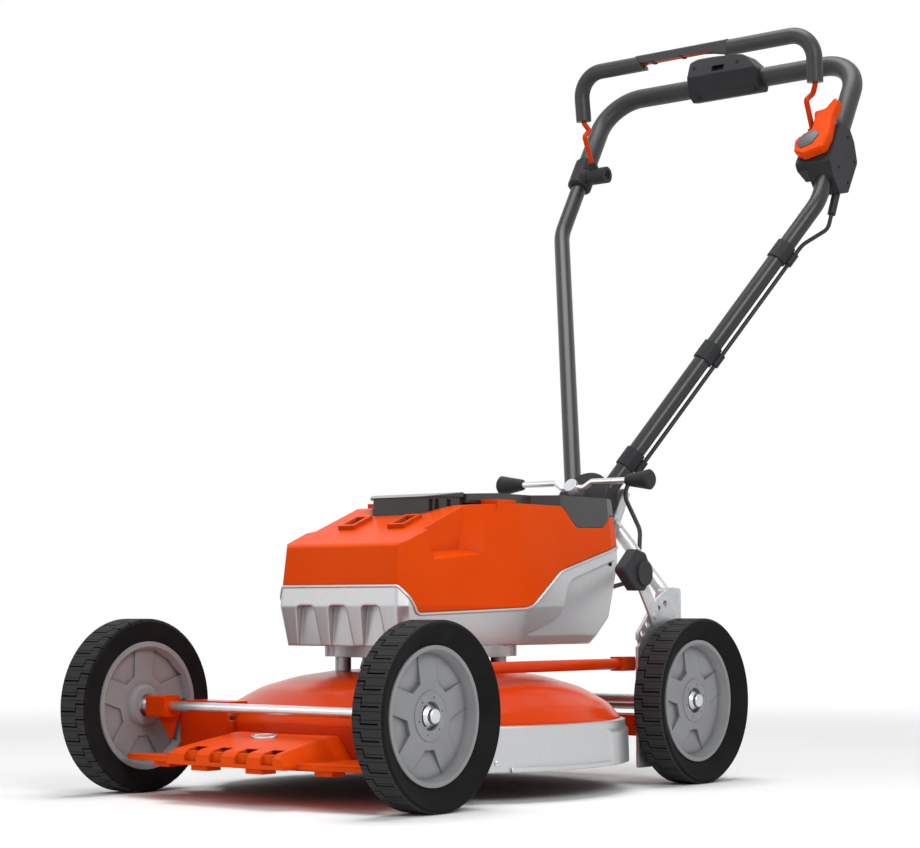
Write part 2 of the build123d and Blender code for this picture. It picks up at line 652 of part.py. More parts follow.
def side_view(top):
    """Side view of the power head, in (y, z), with a flat roof at top."""
    return rounded([(BODY_NOSE + 10, BODY_BOTTOM), (BODY_NOSE, BODY_BOTTOM + 14), (BODY_NOSE, 247),
                    (BODY_NOSE + 6, ROOF_FRONT_Z), (ROOF_KNEE_Y, top - 4), (60, top), (BODY_TAIL - 5, top),
                    (BODY_TAIL, 304), (BODY_TAIL - 29, 211), (208, BODY_BOTTOM)],
                   [6, 6, 0, 14, 60, 0, 8, 12, 10, 8])


def head_blank(inset, top):
    """Closed outer form of the power head, with all its faces moved inwards by inset."""
    plan = hood_plan()
    view = side_view(top)
    if inset:
        plan = offset(plan, -inset, kind=Kind.INTERSECTION)
        view = offset(view, -inset, kind=Kind.INTERSECTION)
    belt = Plane.XY.offset(BODY_BELT)
    upper = extrude(belt * plan, top + 10 - BODY_BELT, taper=BODY_UP_DRAFT)
    lower = extrude(belt * plan, -(BODY_BELT - BODY_BOTTOM + 10), taper=BODY_DOWN_DRAFT)
    return (upper + lower) & extrude(Plane.YZ * view, 2 * BODY_HALF_W, both=True)


def below_belt(gap):
    """Everything under the line where the hood meets the lower shell, raised by gap."""
    line = rounded([(-300, 252 + gap), (-157, 252 + gap), (-134, 217 + gap), (70, 224 + gap),
                    (140, 271 + gap), (320, 316 + gap), (320, 0), (-300, 0)], [0, 10, 12, 60, 50, 0, 0, 0])
    return extrude(Plane.YZ * line, 2 * BODY_HALF_W, both=True)


def grip_recess(grow):
    """Hand recess in the hood's left side; grow makes the matching inner form."""
    inner_line = [(-112 - grow, 400), (-97 - grow, 290 - grow), (-38 + grow, 295 - grow), (-16 + grow, 400)]
    outer_line = [(-190 - grow, 400), (-112 - grow, 256 - grow), (27 + grow, 282 - grow), (103 + grow, 400)]
    inner = Plane.YZ.offset(GRIP_FLOOR - grow) * Polygon(*inner_line, align=None)
    outer = Plane.YZ.offset(140) * Polygon(*outer_line, align=None)
    return loft([inner, outer], ruled=True)


def side_scoop(grow):
    """Shallow hollow in the lower shell's left side, under the band along the parting line."""
    outline = rounded([(70 - grow, 190 - grow), (132, 212 + grow), (156, 258 + grow), (300, 296 + grow),
                       (300, 190 - grow)], [0, 30, 30, 0, 0])
    return Pos(BODY_HALF_W - SCOOP_D - grow, 0, 0) * extrude(Plane.YZ * outline, 60, dir=(1, 0, 0))


def front_vents(grow):
    """Three recesses in the nose of the lower shell, open at the bottom."""
    half = [(21 + grow, 150), (14 + grow, 226 + grow)]
    outline = rounded(half + [(-x, z) for x, z in reversed(half)], [0, 6, 6, 0])
    floor = BODY_NOSE + 13 + grow
    recess = extrude(Plane.XZ.offset(-floor) * outline, 60, dir=(0, -1, 0))
    return [Pos(x, 0, 0) * recess for x in VENT_X]


ROOF_LEAN = degrees(atan2(BODY_TOP - 4 - ROOF_FRONT_Z, ROOF_KNEE_Y - BODY_NOSE - 6))
VENT_Z = ROOF_FRONT_Z + (VENT_Y - BODY_NOSE - 6) * tan(radians(ROOF_LEAN))
VENT_PLACES = [(40, VENT_Y, VENT_Z, ROOF_LEAN), (-40, VENT_Y, VENT_Z, ROOF_LEAN),
               (93, 38, BODY_TOP - 1, 0), (-93, 38, BODY_TOP - 1, 0)]


def vent_box(length, width, low, high, place):
    x, y, z, lean = place
    return Pos(x, y, z) * Rot(lean, 0, 0) * Pos(0, 0, (low + high) / 2) * Box(width, length, high - low)


def lid_region(grow, sweep=0.0):
    """Side view of the lid: along the roof to the tail, with a wing down each rear corner."""
    seat = BODY_TOP - 1 - grow
    tail = BODY_TOP - LID_TAIL_DROP - sweep
    above = BODY_TOP + 60
    behind = BODY_TAIL + 20
    line = rounded([(LID_FRONT - grow, above), (LID_FRONT - grow, seat), (156 - grow, seat),
                    (182 - grow, 327 - grow), (244 + grow, 329 - grow), (262 + grow, tail),
                    (behind, tail), (behind, above)], [0, 0, 6, 16, 16, 0, 0, 0])
    return extrude(Plane.YZ * line, 2 * BODY_HALF_W, both=True)


def lid_plan(grow):
    """Plan of the lid: narrow between the roof vents, full width over the rear wings."""
    side = LID_HALF_W + grow
    far = 2 * BODY_HALF_W
    half = [(side, LID_FRONT - 50), (side, 130), (far, 240), (far, 400)]
    outline = Polygon(*half, *[(-x, y) for x, y in reversed(half)], align=None)
    return extrude(Plane.XY * outline, 2 * BODY_TOP, dir=(0, 0, 1))


LID_LUGS = (-LID_LUG_X, 0, LID_LUG_X)
LID_PIN_HALF = LID_LUG_X + LID_LUG_W / 2
BAY_FRONT = LID_FRONT - 2.0
TRAY_FRONT = BAY_FRONT - BAY_WALL
HOUSING_HALF_W = LID_HALF_W - 6.0


def power_head_shells():
    """Lower shell and hood, parted along the belt line, with all their openings."""
    recesses = [grip_recess(0), mirrored(grip_recess(0))]
    inner_recesses = [grip_recess(BODY_WALL), mirrored(grip_recess(BODY_WALL))]
    scoops = [side_scoop(0), mirrored(side_scoop(0))]
    inner_scoops = [side_scoop(BODY_WALL), mirrored(side_scoop(BODY_WALL))]
    outer = head_blank(0, BODY_TOP) - recesses - scoops - front_vents(0)
    inner = head_blank(BODY_WALL, BODY_TOP) - inner_recesses - inner_scoops - front_vents(BODY_WALL)
    for place in VENT_PLACES:
        outer += vent_box(VENT_L, VENT_W, -8, 5, place)
        inner += vent_box(VENT_L - 2 * VENT_FRAME, VENT_W - 2 * VENT_FRAME, -20, 7, place)
    shell = outer - inner
    lower = shell & below_belt(0)
    lower -= Pos(0, 0, BODY_BOTTOM) * Cylinder(MOTOR_R + 4, 40)
    lower -= gland_bore()
    upper = shell - below_belt(PART_GAP) - (lid_region(FREE_GAP, LID_SWEEP) & lid_plan(FREE_GAP))
    upper -= block(-BAY_HALF_W, BAY_HALF_W, BAY_FRONT, BAY_REAR, BODY_TOP - 30, BODY_TOP + 20)
    upper -= extrude(Plane.XY.offset(HOUSING_BOTTOM) * housing_plan(0), BODY_TOP, dir=(0, 0, 1))
    for x in LID_LUGS:
        upper += lid_lug(x)
    return lower, upper - lid_pin(0)


def lid_lug(x):
    """Hinge lug that stands up from the hood's tail."""
    low = LID_HINGE_Z - LID_LUG_H
    half = LID_LUG_W / 2
    lug = block(x - half, x + half, LID_HINGE_Y - LID_KNUCKLE_D / 2, LID_HINGE_Y + 3, low, LID_HINGE_Z)
    return lug + bar_x(x - half, x + half, LID_HINGE_Y, LID_HINGE_Z, LID_KNUCKLE_D)


def lid_pin(gap):
    return bar_x(-LID_PIN_HALF, LID_PIN_HALF, LID_HINGE_Y, LID_HINGE_Z, LID_PIN_D + 2 * gap)


def battery_lid():
    """Cover over the battery bay, following the head's outer form, with knuckles on its hinge pin."""
    top = BODY_TOP + LID_RISE
    skin = head_blank(0, top) - head_blank(LID_WALL, top)
    edge = lid_plan(0) - lid_plan(-LID_WALL)
    edge += lid_plan(0) & block(-LID_HALF_W, LID_HALF_W, LID_FRONT, LID_FRONT + LID_WALL, 0, top)
    lid = (skin & lid_region(0) & lid_plan(0)) + (edge & lid_region(0) & head_blank(0, top))
    half = LID_KNUCKLE_W / 2
    for x in (-LID_KNUCKLE_X, LID_KNUCKLE_X):
        lid += bar_x(x - half, x + half, LID_HINGE_Y, LID_HINGE_Z, LID_KNUCKLE_D)
    notch = LID_LUG_W / 2 + FREE_GAP
    front = LID_HINGE_Y - LID_KNUCKLE_D / 2 - 1
    for x in LID_LUGS:
        lid -= block(x - notch, x + notch, front, BODY_TAIL + 10, BODY_BOTTOM, top + 1)
    return lid - lid_pin(RUN_FIT)


def battery_tray():
    """Open box that holds the batteries, hung from the roof."""
    half = BAY_HALF_W + BAY_WALL
    rim_half = BAY_HALF_W + BAY_RIM
    roof = BODY_TOP - BODY_WALL
    rear = BAY_REAR + BAY_WALL
    tray = block(-half, half, TRAY_FRONT, rear, BAY_FLOOR, roof)
    tray += block(-rim_half, rim_half, TRAY_FRONT, rear, roof - BAY_WALL, roof)
    tray -= block(-BAY_HALF_W, BAY_HALF_W, BAY_FRONT, BAY_REAR, BAY_FLOOR + BAY_WALL, BODY_TOP)
    return tray & head_blank(BODY_WALL, BODY_TOP)


def housing_plan(grow):
    """Plan of the housing: a narrow front that widens to the lid."""
    front = HOUSING_FRONT - grow
    side = HOUSING_HALF_W + grow
    nose = HOUSING_NOSE_HALF_W + grow
    return Polygon((-nose, front), (nose, front), (side, HOUSING_SHOULDER), (side, LID_FRONT - 1),
                   (-side, LID_FRONT - 1), (-side, HOUSING_SHOULDER), align=None)


def lid_housing():
    """Ribbed dark housing in front of the lid, with an overhanging cap."""
    top = BODY_TOP + LID_RISE - 1
    body = extrude(Plane.XY.offset(HOUSING_BOTTOM) * housing_plan(0), top - 6 - HOUSING_BOTTOM, dir=(0, 0, 1))
    for share in (0.3, 0.45, 0.75):
        x = HOUSING_NOSE_HALF_W + share * (HOUSING_HALF_W - HOUSING_NOSE_HALF_W)
        y = HOUSING_FRONT + share * (HOUSING_SHOULDER - HOUSING_FRONT)
        for side in (-1, 1):
            body -= block(side * x - 4, side * x + 4, y - 2, y + 2, HOUSING_BOTTOM - 1, top - 10)
    cap = extrude(Plane.XY.offset(top - 7) * housing_plan(3), 7, dir=(0, 0, 1))
    cap = chamfer(cap.edges().group_by(Axis.Z)[-1], 2)
    housing = body + cap
    housing -= block(-BODY_HALF_W, BODY_HALF_W, TRAY_FRONT, 0, 0, BODY_TOP - BODY_WALL)
    slope = [(-300, top - 3), (HOUSING_FRONT - 4, top - 7), (LID_FRONT, top), (LID_FRONT, top + 40),
             (-300, top + 40)]
    return housing - plate_x(-BODY_HALF_W, BODY_HALF_W, slope)


def motor_mount():
    """Cast ring under the power head, standing on the deck on four legs."""
    ring = upright(MOUNT_R, MOUNT_BOTTOM, BODY_BOTTOM)
    for count in range(MOTOR_LEGS):
        turn = Rot(0, 0, 45 + 360 * count / MOTOR_LEGS)
        ring += turn * Pos(MOUNT_R - 14, 0, 0) * upright(10, DECK_TOP, BODY_BOTTOM)
        ring += turn * Pos(MOUNT_R - 4, 0, 0) * upright(13, MOUNT_BOTTOM, BODY_BOTTOM)
    return ring - Pos(0, 0, BODY_BOTTOM) * Cylinder(MOTOR_R, 3 * MOUNT_BOTTOM)


MOTOR_BOTTOM = DECK_TOP + 3.0
MOTOR_TOP = BAY_FLOOR - 12.0
SHAFT_BOTTOM = BLADE_Z + BLADE_T + 4.0


def make_motor():
    can = upright(MOTOR_R, MOTOR_BOTTOM, MOTOR_TOP)
    can -= upright(MOTOR_R - MOTOR_WALL, MOTOR_BOTTOM + MOTOR_WALL, MOTOR_TOP - MOTOR_WALL)
    can -= Pos(0, 0, MOTOR_BOTTOM) * Cylinder(SHAFT_D / 2 + RUN_FIT, 3 * MOTOR_WALL)
    keep("motor_mount", motor_mount())
    keep("motor_can", can)
    rotor_bottom = MOTOR_BOTTOM + MOTOR_WALL + 4
    rotor_top = MOTOR_TOP - MOTOR_WALL - 4
    rotor = upright(MOTOR_R - MOTOR_WALL - 8, rotor_bottom, rotor_top)
    shaft = upright(SHAFT_D / 2, SHAFT_BOTTOM, rotor_top)
    bolt_hole = Pos(0, 0, SHAFT_BOTTOM) * Cylinder(BOLT_D / 2, 40)
    keep("motor_rotor", rotor + shaft - bolt_hole)
    blade_top = BLADE_Z + BLADE_T
    adapter = Pos(0, 0, blade_top + ADAPTER_H / 2) * Cylinder(ADAPTER_R, ADAPTER_H)
    adapter -= Pos(0, 0, SHAFT_BOTTOM + ADAPTER_H / 2) * Cylinder(SHAFT_D / 2, ADAPTER_H)
    keep("blade_adapter", adapter - bolt_hole)
    keep("blade", blade() - bolt_hole)
    seat = Plane.XY.offset(BLADE_Z - BOLT_HEAD_H)
    head = extrude(seat * RegularPolygon(BOLT_D, 6), BOLT_HEAD_H, dir=(0, 0, 1))
    keep("blade_bolt", head + upright(BOLT_D / 2, BLADE_Z, BLADE_Z + 24))


def blade():
    """Flat bar ground at both ends, with a raised sail behind each cutting edge."""
    bar = Pos(0, 0, BLADE_Z + BLADE_T / 2) * Box(BLADE_L, BLADE_W, BLADE_T)
    sail = Pos(BLADE_L / 2 - 45, BLADE_W / 2 + 6, BLADE_Z + 9) * Rot(35, 0, 0) * Box(90, 26, BLADE_T)
    edge = Pos(BLADE_L / 2 - 40, -BLADE_W / 2, BLADE_Z) * Rot(-25, 0, 0) * Box(100, 14, BLADE_T)
    tip = sail - Pos(BLADE_L / 2 - 45, 0, BLADE_Z - 10) * Box(200, 2 * BLADE_W, 20)
    for turn in (0, 180):
        bar += Rot(0, 0, turn) * tip
        bar -= Rot(0, 0, turn) * edge
    return bar - Pos(0, 0, BLADE_Z) * Cylinder(BOLT_D / 2, 4 * BLADE_T)


def gland_bore():
    """Bore for the cable gland, square to the tail of the lower shell."""
    return Pos(GLAND.X, GLAND.Y, GLAND.Z) * Rot(90, 0, 0) * Cylinder(GLAND_D / 2, 40)


def make_power_head():
    lower, upper = power_head_shells()
    keep("lower_shell", lower)
    keep("upper_shell", upper)
    vent_size = (VENT_L - 2 * VENT_FRAME, VENT_W - 2 * VENT_FRAME)
    keep("vent_inserts", *[vent_box(*vent_size, -8, 1, place) for place in VENT_PLACES])
    keep("battery_lid", battery_lid())
    keep("battery_tray", battery_tray())
    keep("lid_housing", lid_housing())
    keep("lid_hinge_pin", lid_pin(0))
    keep("electronics_box", block(-58, 58, -130, -82, BODY_BOTTOM + BODY_WALL, 285))
    gland = Pos(GLAND.X, GLAND.Y, GLAND.Z) * Rot(90, 0, 0) * Cylinder(GLAND_D / 2, 24)
    keep("cable_gland", gland - Pos(GLAND.X, GLAND.Y, GLAND.Z) * Rot(90, 0, 0) * Cylinder(CABLE_D / 2, 60))
    make_motor()


# Yoke, swivel foot and clamp, drawn in the plane of the handle's legs
FOOT = Plane(origin=FOOT_CENTRE, x_dir=(1, 0, 0), z_dir=LEG_NORMAL)
HEAD_Z = -FOOT_HALF_T - FREE_GAP
YOKE_LOW = Vector(PLATE_X - 10, REAR_PIVOT_Y - 27.4, 238)
YOKE_HIGH = Vector(36, 374, 342)


def yoke_head():
    """Channel plate behind the swivel foot."""
    plate = block(-HEAD_HALF_W, HEAD_HALF_W, HEAD_LOW, HEAD_HIGH, HEAD_Z - HEAD_D, HEAD_Z)
    inner = HEAD_HALF_W - HEAD_T
    plate -= block(-inner, inner, HEAD_LOW - 1, HEAD_HIGH + 1, HEAD_Z - HEAD_D - 1, HEAD_Z - HEAD_T)
    return FOOT.location * (plate - Cylinder(BOLT_HOLE_D / 2 + RUN_FIT, 100))


def yoke_tube():
    head = block(-HEAD_HALF_W, HEAD_HALF_W, HEAD_LOW, HEAD_HIGH, HEAD_Z - HEAD_D, HEAD_Z)
    beyond = block(-60, 60, HEAD_HIGH, 90, -60, 60)
    ahead = block(-60, 60, HEAD_LOW - 20, HEAD_HIGH, HEAD_Z, 60)
    arm = tube([YOKE_LOW, YOKE_HIGH], None, YOKE_D) - FOOT.location * head
    arm = arm - FOOT.location * beyond - FOOT.location * ahead
    arm = arm.solids().sort_by(Axis.X)[-1] + bar_x(PLATE_X - 20, PLATE_X, YOKE_LOW.Y, YOKE_LOW.Z, YOKE_D + 6)
    return arm


LEG_START = FOOT_CENTRE + LEG_UP * -14 + Vector(16, 0, 0)
LEG_DIR = (KNEE - LEG_START).normalized()
HANDLE_LINE = [LEG_START, KNEE, BAR_CORNER]


def mirror_x(point):
    return Vector(-point.X, point.Y, point.Z)


def handle_tube():
    points = HANDLE_LINE + [mirror_x(point) for point in reversed(HANDLE_LINE)]
    return tube(points, [KNEE_R, CORNER_R, CORNER_R, KNEE_R], TUBE_D, TUBE_D - 2 * TUBE_WALL)


def handle_foot():
    """Round moulded foot that takes both legs and turns on the clamp bolt."""
    foot = FOOT.location * Cylinder(FOOT_R, 2 * FOOT_HALF_T)
    foot = fillet(foot.edges().filter_by(GeomType.CIRCLE), 3)
    foot -= FOOT.location * Cylinder(BOLT_HOLE_D / 2 + RUN_FIT, 100)
    leg = tube([LEG_START, KNEE], None, TUBE_D + 2 * RUN_FIT)
    return foot - leg - mirrored(leg)


def clamp_lever():
    """Clamp bolt with an eye, and a cranked cross rod through the eye."""
    bolt = Pos(0, 0, (CLAMP_STEM + HEAD_Z - 12) / 2) * Cylinder(BOLT_HOLE_D / 2, CLAMP_STEM - HEAD_Z + 12)
    bolt += Pos(0, 0, HEAD_Z - HEAD_T - 5) * Cylinder(BOLT_HOLE_D / 2 + 5, 9)
    bolt += Pos(0, 0, CLAMP_STEM - 3) * Cylinder(BOLT_HOLE_D / 2 + 4, 24)
    high = CLAMP_STEM + CLAMP_CRANK[1]
    half = [Vector(18, 0, CLAMP_STEM), Vector(30, CLAMP_CRANK[0], high),
            Vector(CLAMP_REACH + 10, CLAMP_CRANK[0], high)]
    points = [mirror_x(point) for point in reversed(half)] + half
    return FOOT.location * (bolt + tube(points, 8, CLAMP_ROD_D))


def clamp_knob():
    x0 = CLAMP_REACH
    x1 = CLAMP_REACH + CLAMP_KNOB_L
    knob = turned_x([(x0, 0), (x0, 7), (x0 + 2, 8), (x1 - 3, 14), (x1, 11), (x1, 0)])
    knob -= bar_x(x0 - 1, x0 + 10, 0, 0, CLAMP_ROD_D)
    return FOOT.location * Pos(0, CLAMP_CRANK[0], CLAMP_STEM + CLAMP_CRANK[1]) * knob


# Upper handle: the left stem's own frame has X across, Y rearwards and Z up the tube from the knee
STEM = Plane(origin=KNEE, x_dir=(1, 0, 0), z_dir=STEM_UP)
FACE = Plane(origin=KNEE + STEM_FRONT * 28, x_dir=(1, 0, 0), z_dir=STEM_FRONT)
BAIL_PIVOT = STEM.from_local_coords(Vector(0, PIVOT_BACK, PIVOT_UP))


def grip_sleeve(start):
    points = [KNEE + STEM_UP * start, BAR_CORNER, Vector(PANEL_HALF_W, BAR_CORNER.Y, BAR_CORNER.Z)]
    return tube(points, CORNER_R, GRIP_D, TUBE_D)


def control_box():
    """Switch box clamped on the left stem, with the bail's pivot stub and the thumb lever's pin."""
    box = plate_x(-20, 18.5, rounded([(-28, 52), (-28, 124), (0, BOX_TOP), (18, 123), (40, 102), (39, 45),
                                      (20, BOX_BOTTOM - 10), (-8, BOX_BOTTOM), (-20, 47)],
                                     [4, 6, 4, 8, 8, 6, 6, 0, 4]))
    box += plate_x(-38, 10, rounded([(-28, 52), (-28, 84), (10, 84), (10, 50), (-18, 47)], [4, 4, 0, 0, 4]))
    box += bar_x(PIVOT_INNER, -19, PIVOT_BACK, PIVOT_UP, BAIL_PIN_D)
    box -= Pos(0, 0, (BOX_TOP + BOX_BOTTOM) / 2) * Cylinder(TUBE_D / 2, 2 * BOX_TOP)
    for y, z in ((-1, 116), (32, 97), (-2, 60), (31, 57)):
        box -= bar_x(14, 20, y, z, 5)
    pin = FACE.location * Pos(*LEVER_PIVOT, 0) * Cylinder(THUMB_PIN_D / 2, 20)
    return STEM.location * box + pin


def right_clamp():
    """Clamp on the right stem with the other pivot stub of the bail."""
    clamp = Pos(0, 0, CLAMP_MID) * Cylinder(19, CLAMP_H)
    clamp = chamfer(clamp.edges().filter_by(GeomType.CIRCLE), 3)
    clamp += bar_x(PIVOT_INNER, -10, PIVOT_BACK, PIVOT_UP, BAIL_PIN_D)
    clamp += bar_x(HUB_X[1] + 1, -8, PIVOT_BACK, PIVOT_UP, BAIL_HUB_D)
    clamp -= Pos(0, 0, CLAMP_MID) * Cylinder(TUBE_D / 2, 2 * CLAMP_H)
    clamp -= bar_x(PIVOT_INNER - 1, PIVOT_INNER + 8, PIVOT_BACK, PIVOT_UP, 6)
    return mirrored(STEM.location * clamp)


PANEL_TOP = BAR_CORNER.Z + PANEL_RISE
BUTTON_PLACE = (0.0, BAR_CORNER.Y - 1.5)


def control_panel():
    """Pod on the middle of the handle bar, with a socket in its front and a bore for the button."""
    y = BAR_CORNER.Y
    z = BAR_CORNER.Z
    line = [(y - 21.5, z - 16), (y - 9.5, z - 25), (y + 8.5, z - 22), (y + 13.5, z - 8),
            (y + 10.5, PANEL_TOP), (y - 15.5, PANEL_TOP), (y - 27.5, z + 12)]
    pod = plate_x(-PANEL_HALF_W, PANEL_HALF_W, rounded(line, [5, 6, 6, 4, 4, 6, 4]))
    front_view = rounded([(-PANEL_HALF_W, z - 42), (PANEL_HALF_W, z - 42), (PANEL_HALF_W, z + 12),
                          (PANEL_HALF_W - PANEL_TAPER, PANEL_TOP - 6), (-PANEL_HALF_W + 18, PANEL_TOP + 1),
                          (-PANEL_HALF_W, PANEL_TOP - 6)], [0, 0, 10, 24, 20, 4])
    pod &= extrude(Plane.XZ * front_view, 2 * y, both=True)
    pod -= bar_x(-2 * PANEL_HALF_W, 2 * PANEL_HALF_W, y, z, TUBE_D)
    pod -= block(*PANEL_SLOT_X, y - 60, y - 13.5, z + 16.6, z + 25.6)
    return pod - Pos(*BUTTON_PLACE, PANEL_TOP) * Cylinder(BUTTON_D / 2 + FREE_GAP, 20)


def power_button():
    return Pos(*BUTTON_PLACE, PANEL_TOP - 2.5) * Cylinder(BUTTON_D / 2, 10)


# Bail, in the mower's frame
BAIL_LEG = [Vector(x, BAIL_PIVOT.Y + back, BAIL_PIVOT.Z + up) for x, back, up in (
    (BAIL_HALF_W - 11.5, -3, 8), (BAIL_HALF_W - 11.5, -9.5, 22), (BAIL_HALF_W - 11, -27, 60),
    (BAIL_HALF_W - 9, -10, 72), (BAIL_HALF_W - 2, -15.5, 84), (BAIL_HALF_W, -22, 161))]


BAIL_Y = BAIL_LEG[-1].Y
BAIL_Z = BAIL_LEG[-1].Z
COVER_TOP = BAIL_D / 2
COVER_LOW = -1.0


def bail_rod():
    """Bent rod from hub to hub, flattened from below where the cover clips over it."""
    points = BAIL_LEG + [mirror_x(point) for point in reversed(BAIL_LEG)]
    radii = [8, 5, 5, 8, BAIL_CORNER_R]
    rod = tube(points, radii + radii[::-1], BAIL_ROD_D)
    flat = BAIL_Z + COVER_LOW - FREE_GAP
    return rod - block(COVER_RIGHT + COVER_SLANT, COVER_LEFT, BAIL_Y - BAIL_D, BAIL_Y + BAIL_D,
                       flat - BAIL_ROD_D, flat)


def bail_grip(inner_end):
    """Sleeve from just above the rod's last bend, round the corner to its inner end."""
    corner = BAIL_LEG[-1]
    start = BAIL_LEG[-2] + (corner - BAIL_LEG[-2]).normalized() * 3
    end = Vector(inner_end, BAIL_Y, BAIL_Z)
    return tube([start, corner, end], BAIL_CORNER_R, BAIL_D, BAIL_ROD_D)


def cover_outline(points):
    """Solid behind a front view given in (x, height over the rod), as deep as the grips."""
    outline = Polygon(*[(x, BAIL_Z + high) for x, high in points], align=None)
    return extrude(Plane.XZ.offset(-BAIL_Y) * outline, BAIL_D, both=True)


def right_bail_grip():
    """Right grip, its inner end cut at a slant under the cover's end."""
    grip = mirrored(bail_grip(-COVER_RIGHT - COVER_SLANT))
    beyond = COVER_RIGHT + 2 * COVER_SLANT
    return grip - cover_outline([(COVER_RIGHT, COVER_TOP), (COVER_RIGHT + COVER_SLANT, -COVER_TOP),
                                 (beyond, -COVER_TOP), (beyond, COVER_TOP)])


def bail_cover():
    """Thin ribbed strip over the rod that swells to a paddle at the left grip."""
    share = (COVER_TOP - COVER_LOW) / (2 * COVER_TOP)
    front = cover_outline([(COVER_RIGHT, COVER_TOP), (COVER_RIGHT + share * COVER_SLANT, COVER_LOW),
                           (COVER_LEFT - 50, COVER_LOW), (COVER_LEFT - 33, COVER_LOW - 2),
                           (COVER_LEFT, -COVER_TOP + 2), (COVER_LEFT, COVER_TOP)])
    strip = front & block(COVER_RIGHT, COVER_LEFT, BAIL_Y - 9, BAIL_Y + 9, BAIL_Z - BAIL_D, BAIL_Z + BAIL_D)
    strip = fillet(strip.edges().filter_by(Axis.X).group_by(Axis.Z)[-1], 4)
    for x in COVER_RIBS:
        strip += block(x - 3, x + 3, BAIL_Y - 8, BAIL_Y + 8, BAIL_Z - 3, BAIL_Z)
    return strip - bar_x(-BAIL_HALF_W, BAIL_HALF_W, BAIL_Y, BAIL_Z, BAIL_ROD_D)


def bail_hub():
    """Collar on the pivot stub, with the socket that takes the rod's end."""
    collar = bar_x(*HUB_X, PIVOT_BACK, PIVOT_UP, BAIL_HUB_D)
    collar -= bar_x(-70, 0, PIVOT_BACK, PIVOT_UP, BAIL_PIN_D + 2 * RUN_FIT)
    base = BAIL_LEG[0]
    towards = BAIL_LEG[1] - base
    socket = tube([base + towards.normalized() * 1.5, base + towards.normalized() * 14], None, BAIL_ROD_D + 6)
    bore = STEM.location * bar_x(-70, 0, PIVOT_BACK, PIVOT_UP, BAIL_PIN_D + 2 * RUN_FIT)
    return STEM.location * collar + socket - bore - tube([base, BAIL_LEG[1]], None, BAIL_ROD_D)


def thumb_lever():
    """Orange rocker on the front of the switch box, with a horn for the thumb."""
    outline = rounded([(-36, 64), (-40, 86), (-17, 105), (-18, 124), (-22, 138), (-4, 141), (6, 160),
                       (15, 152), (12, 126), (15, 88), (12, 66), (-20, 56)],
                      [6, 6, 4, 4, 4, 4, 3, 3, 8, 8, 8, 6])
    lever = FACE.location * extrude(Plane.XY.offset(FREE_GAP) * outline, 16, dir=(0, 0, 1))
    lever = chamfer(lever.faces().sort_by_distance(KNEE + STEM_FRONT * 500)[0].edges(), 2)
    return lever - FACE.location * Pos(*LEVER_PIVOT, 0) * Cylinder(THUMB_PIN_D / 2 + RUN_FIT, 20)


# Cable, held from the switch box down to the power head
LEG_SIDE = (LEG_DIR.cross(LEG_NORMAL).normalized() - LEG_NORMAL).normalized() * CABLE_OUT
GLAND = Vector(92, 262, 250)
BOOT_TOP = STEM.from_local_coords(Vector(8.5, 24, BOX_BOTTOM + 4))
BOOT_END = Vector(234, 650, 792)


def leg_point(share):
    return LEG_START + (KNEE - LEG_START) * share


def cable_clip(share):
    """Band round the leg with a loop for the cable beside it."""
    here = leg_point(share)
    half = LEG_DIR * (CLIP_L / 2)
    beside = here + LEG_SIDE
    clip = tube([here - half, here + half], None, TUBE_D + 5)
    clip += tube([beside - half * 0.7, beside + half * 0.7], None, CABLE_D + 5)
    clip -= tube([LEG_START, KNEE], None, TUBE_D)
    return clip - tube([beside - half, beside + half], None, CABLE_D)


def make_cables():
    low = leg_point(CLIP_PLACES[0]) + LEG_SIDE - LEG_DIR * (CLIP_L / 2)
    high = leg_point(CLIP_PLACES[-1]) + LEG_SIDE + LEG_DIR * CLIP_L
    boot = tube([BOOT_TOP, BOOT_END], None, 12) - nodes["control_box"][0]
    upper = tube([BOOT_END, BOOT_END + (BOOT_END - BOOT_TOP).normalized() * 24, high, low], [25, 40], CABLE_D)
    keep("cable_upper", upper)
    keep("cable_boot", boot)
    lower = [low, low - LEG_DIR * 30, Vector(82, 374, 330), Vector(104, 335, 262),
             Vector(GLAND.X, GLAND.Y + 20, GLAND.Z), Vector(GLAND.X, GLAND.Y - 8, GLAND.Z)]
    keep("cable_lower", tube(lower, [30, 40, 30, 12], CABLE_D))
    keep("cable_clips", *[cable_clip(share) for share in CLIP_PLACES])


def make_handle():
    keep("yoke_head", yoke_head())
    arm = yoke_tube()
    keep("yoke_tubes", arm, mirrored(arm))
    keep("handle_foot", handle_foot())
    keep("handle_tube", handle_tube())
    keep("clamp_lever", clamp_lever())
    knob = clamp_knob()
    keep("clamp_knobs", knob, mirrored(knob))
    right_start = CLAMP_MID + CLAMP_H / 2 + 2
    keep("handle_grips", grip_sleeve(BOX_TOP + 2), mirrored(grip_sleeve(right_start)))
    keep("control_box", control_box())
    keep("right_clamp", right_clamp())
    keep("control_panel", control_panel())
    keep("power_button", power_button())
    keep("bail_rod", bail_rod())
    keep("bail_grips", bail_grip(COVER_LEFT), right_bail_grip(), bail_cover())
    hub = bail_hub()
    keep("bail_hubs", hub, mirrored(hub))
    keep("thumb_lever", thumb_lever())
    make_cables()


def export_all():
    os.makedirs("parts", exist_ok=True)
    shift = Pos(0, -FRAME_SHIFT, 0)
    for name, pieces in nodes.items():
        solids = [shift * solid for piece in pieces for solid in piece.solids()]
        export_step(solids[0] if len(solids) == 1 else Compound(solids), f"parts/{name}.step")


make_wheels()
make_height_gear()
make_chassis()
make_power_head()
make_handle()
export_all()
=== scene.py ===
import bpy
import json
import math
from mathutils import Matrix, Vector
from mathutils.bvhtree import BVHTree

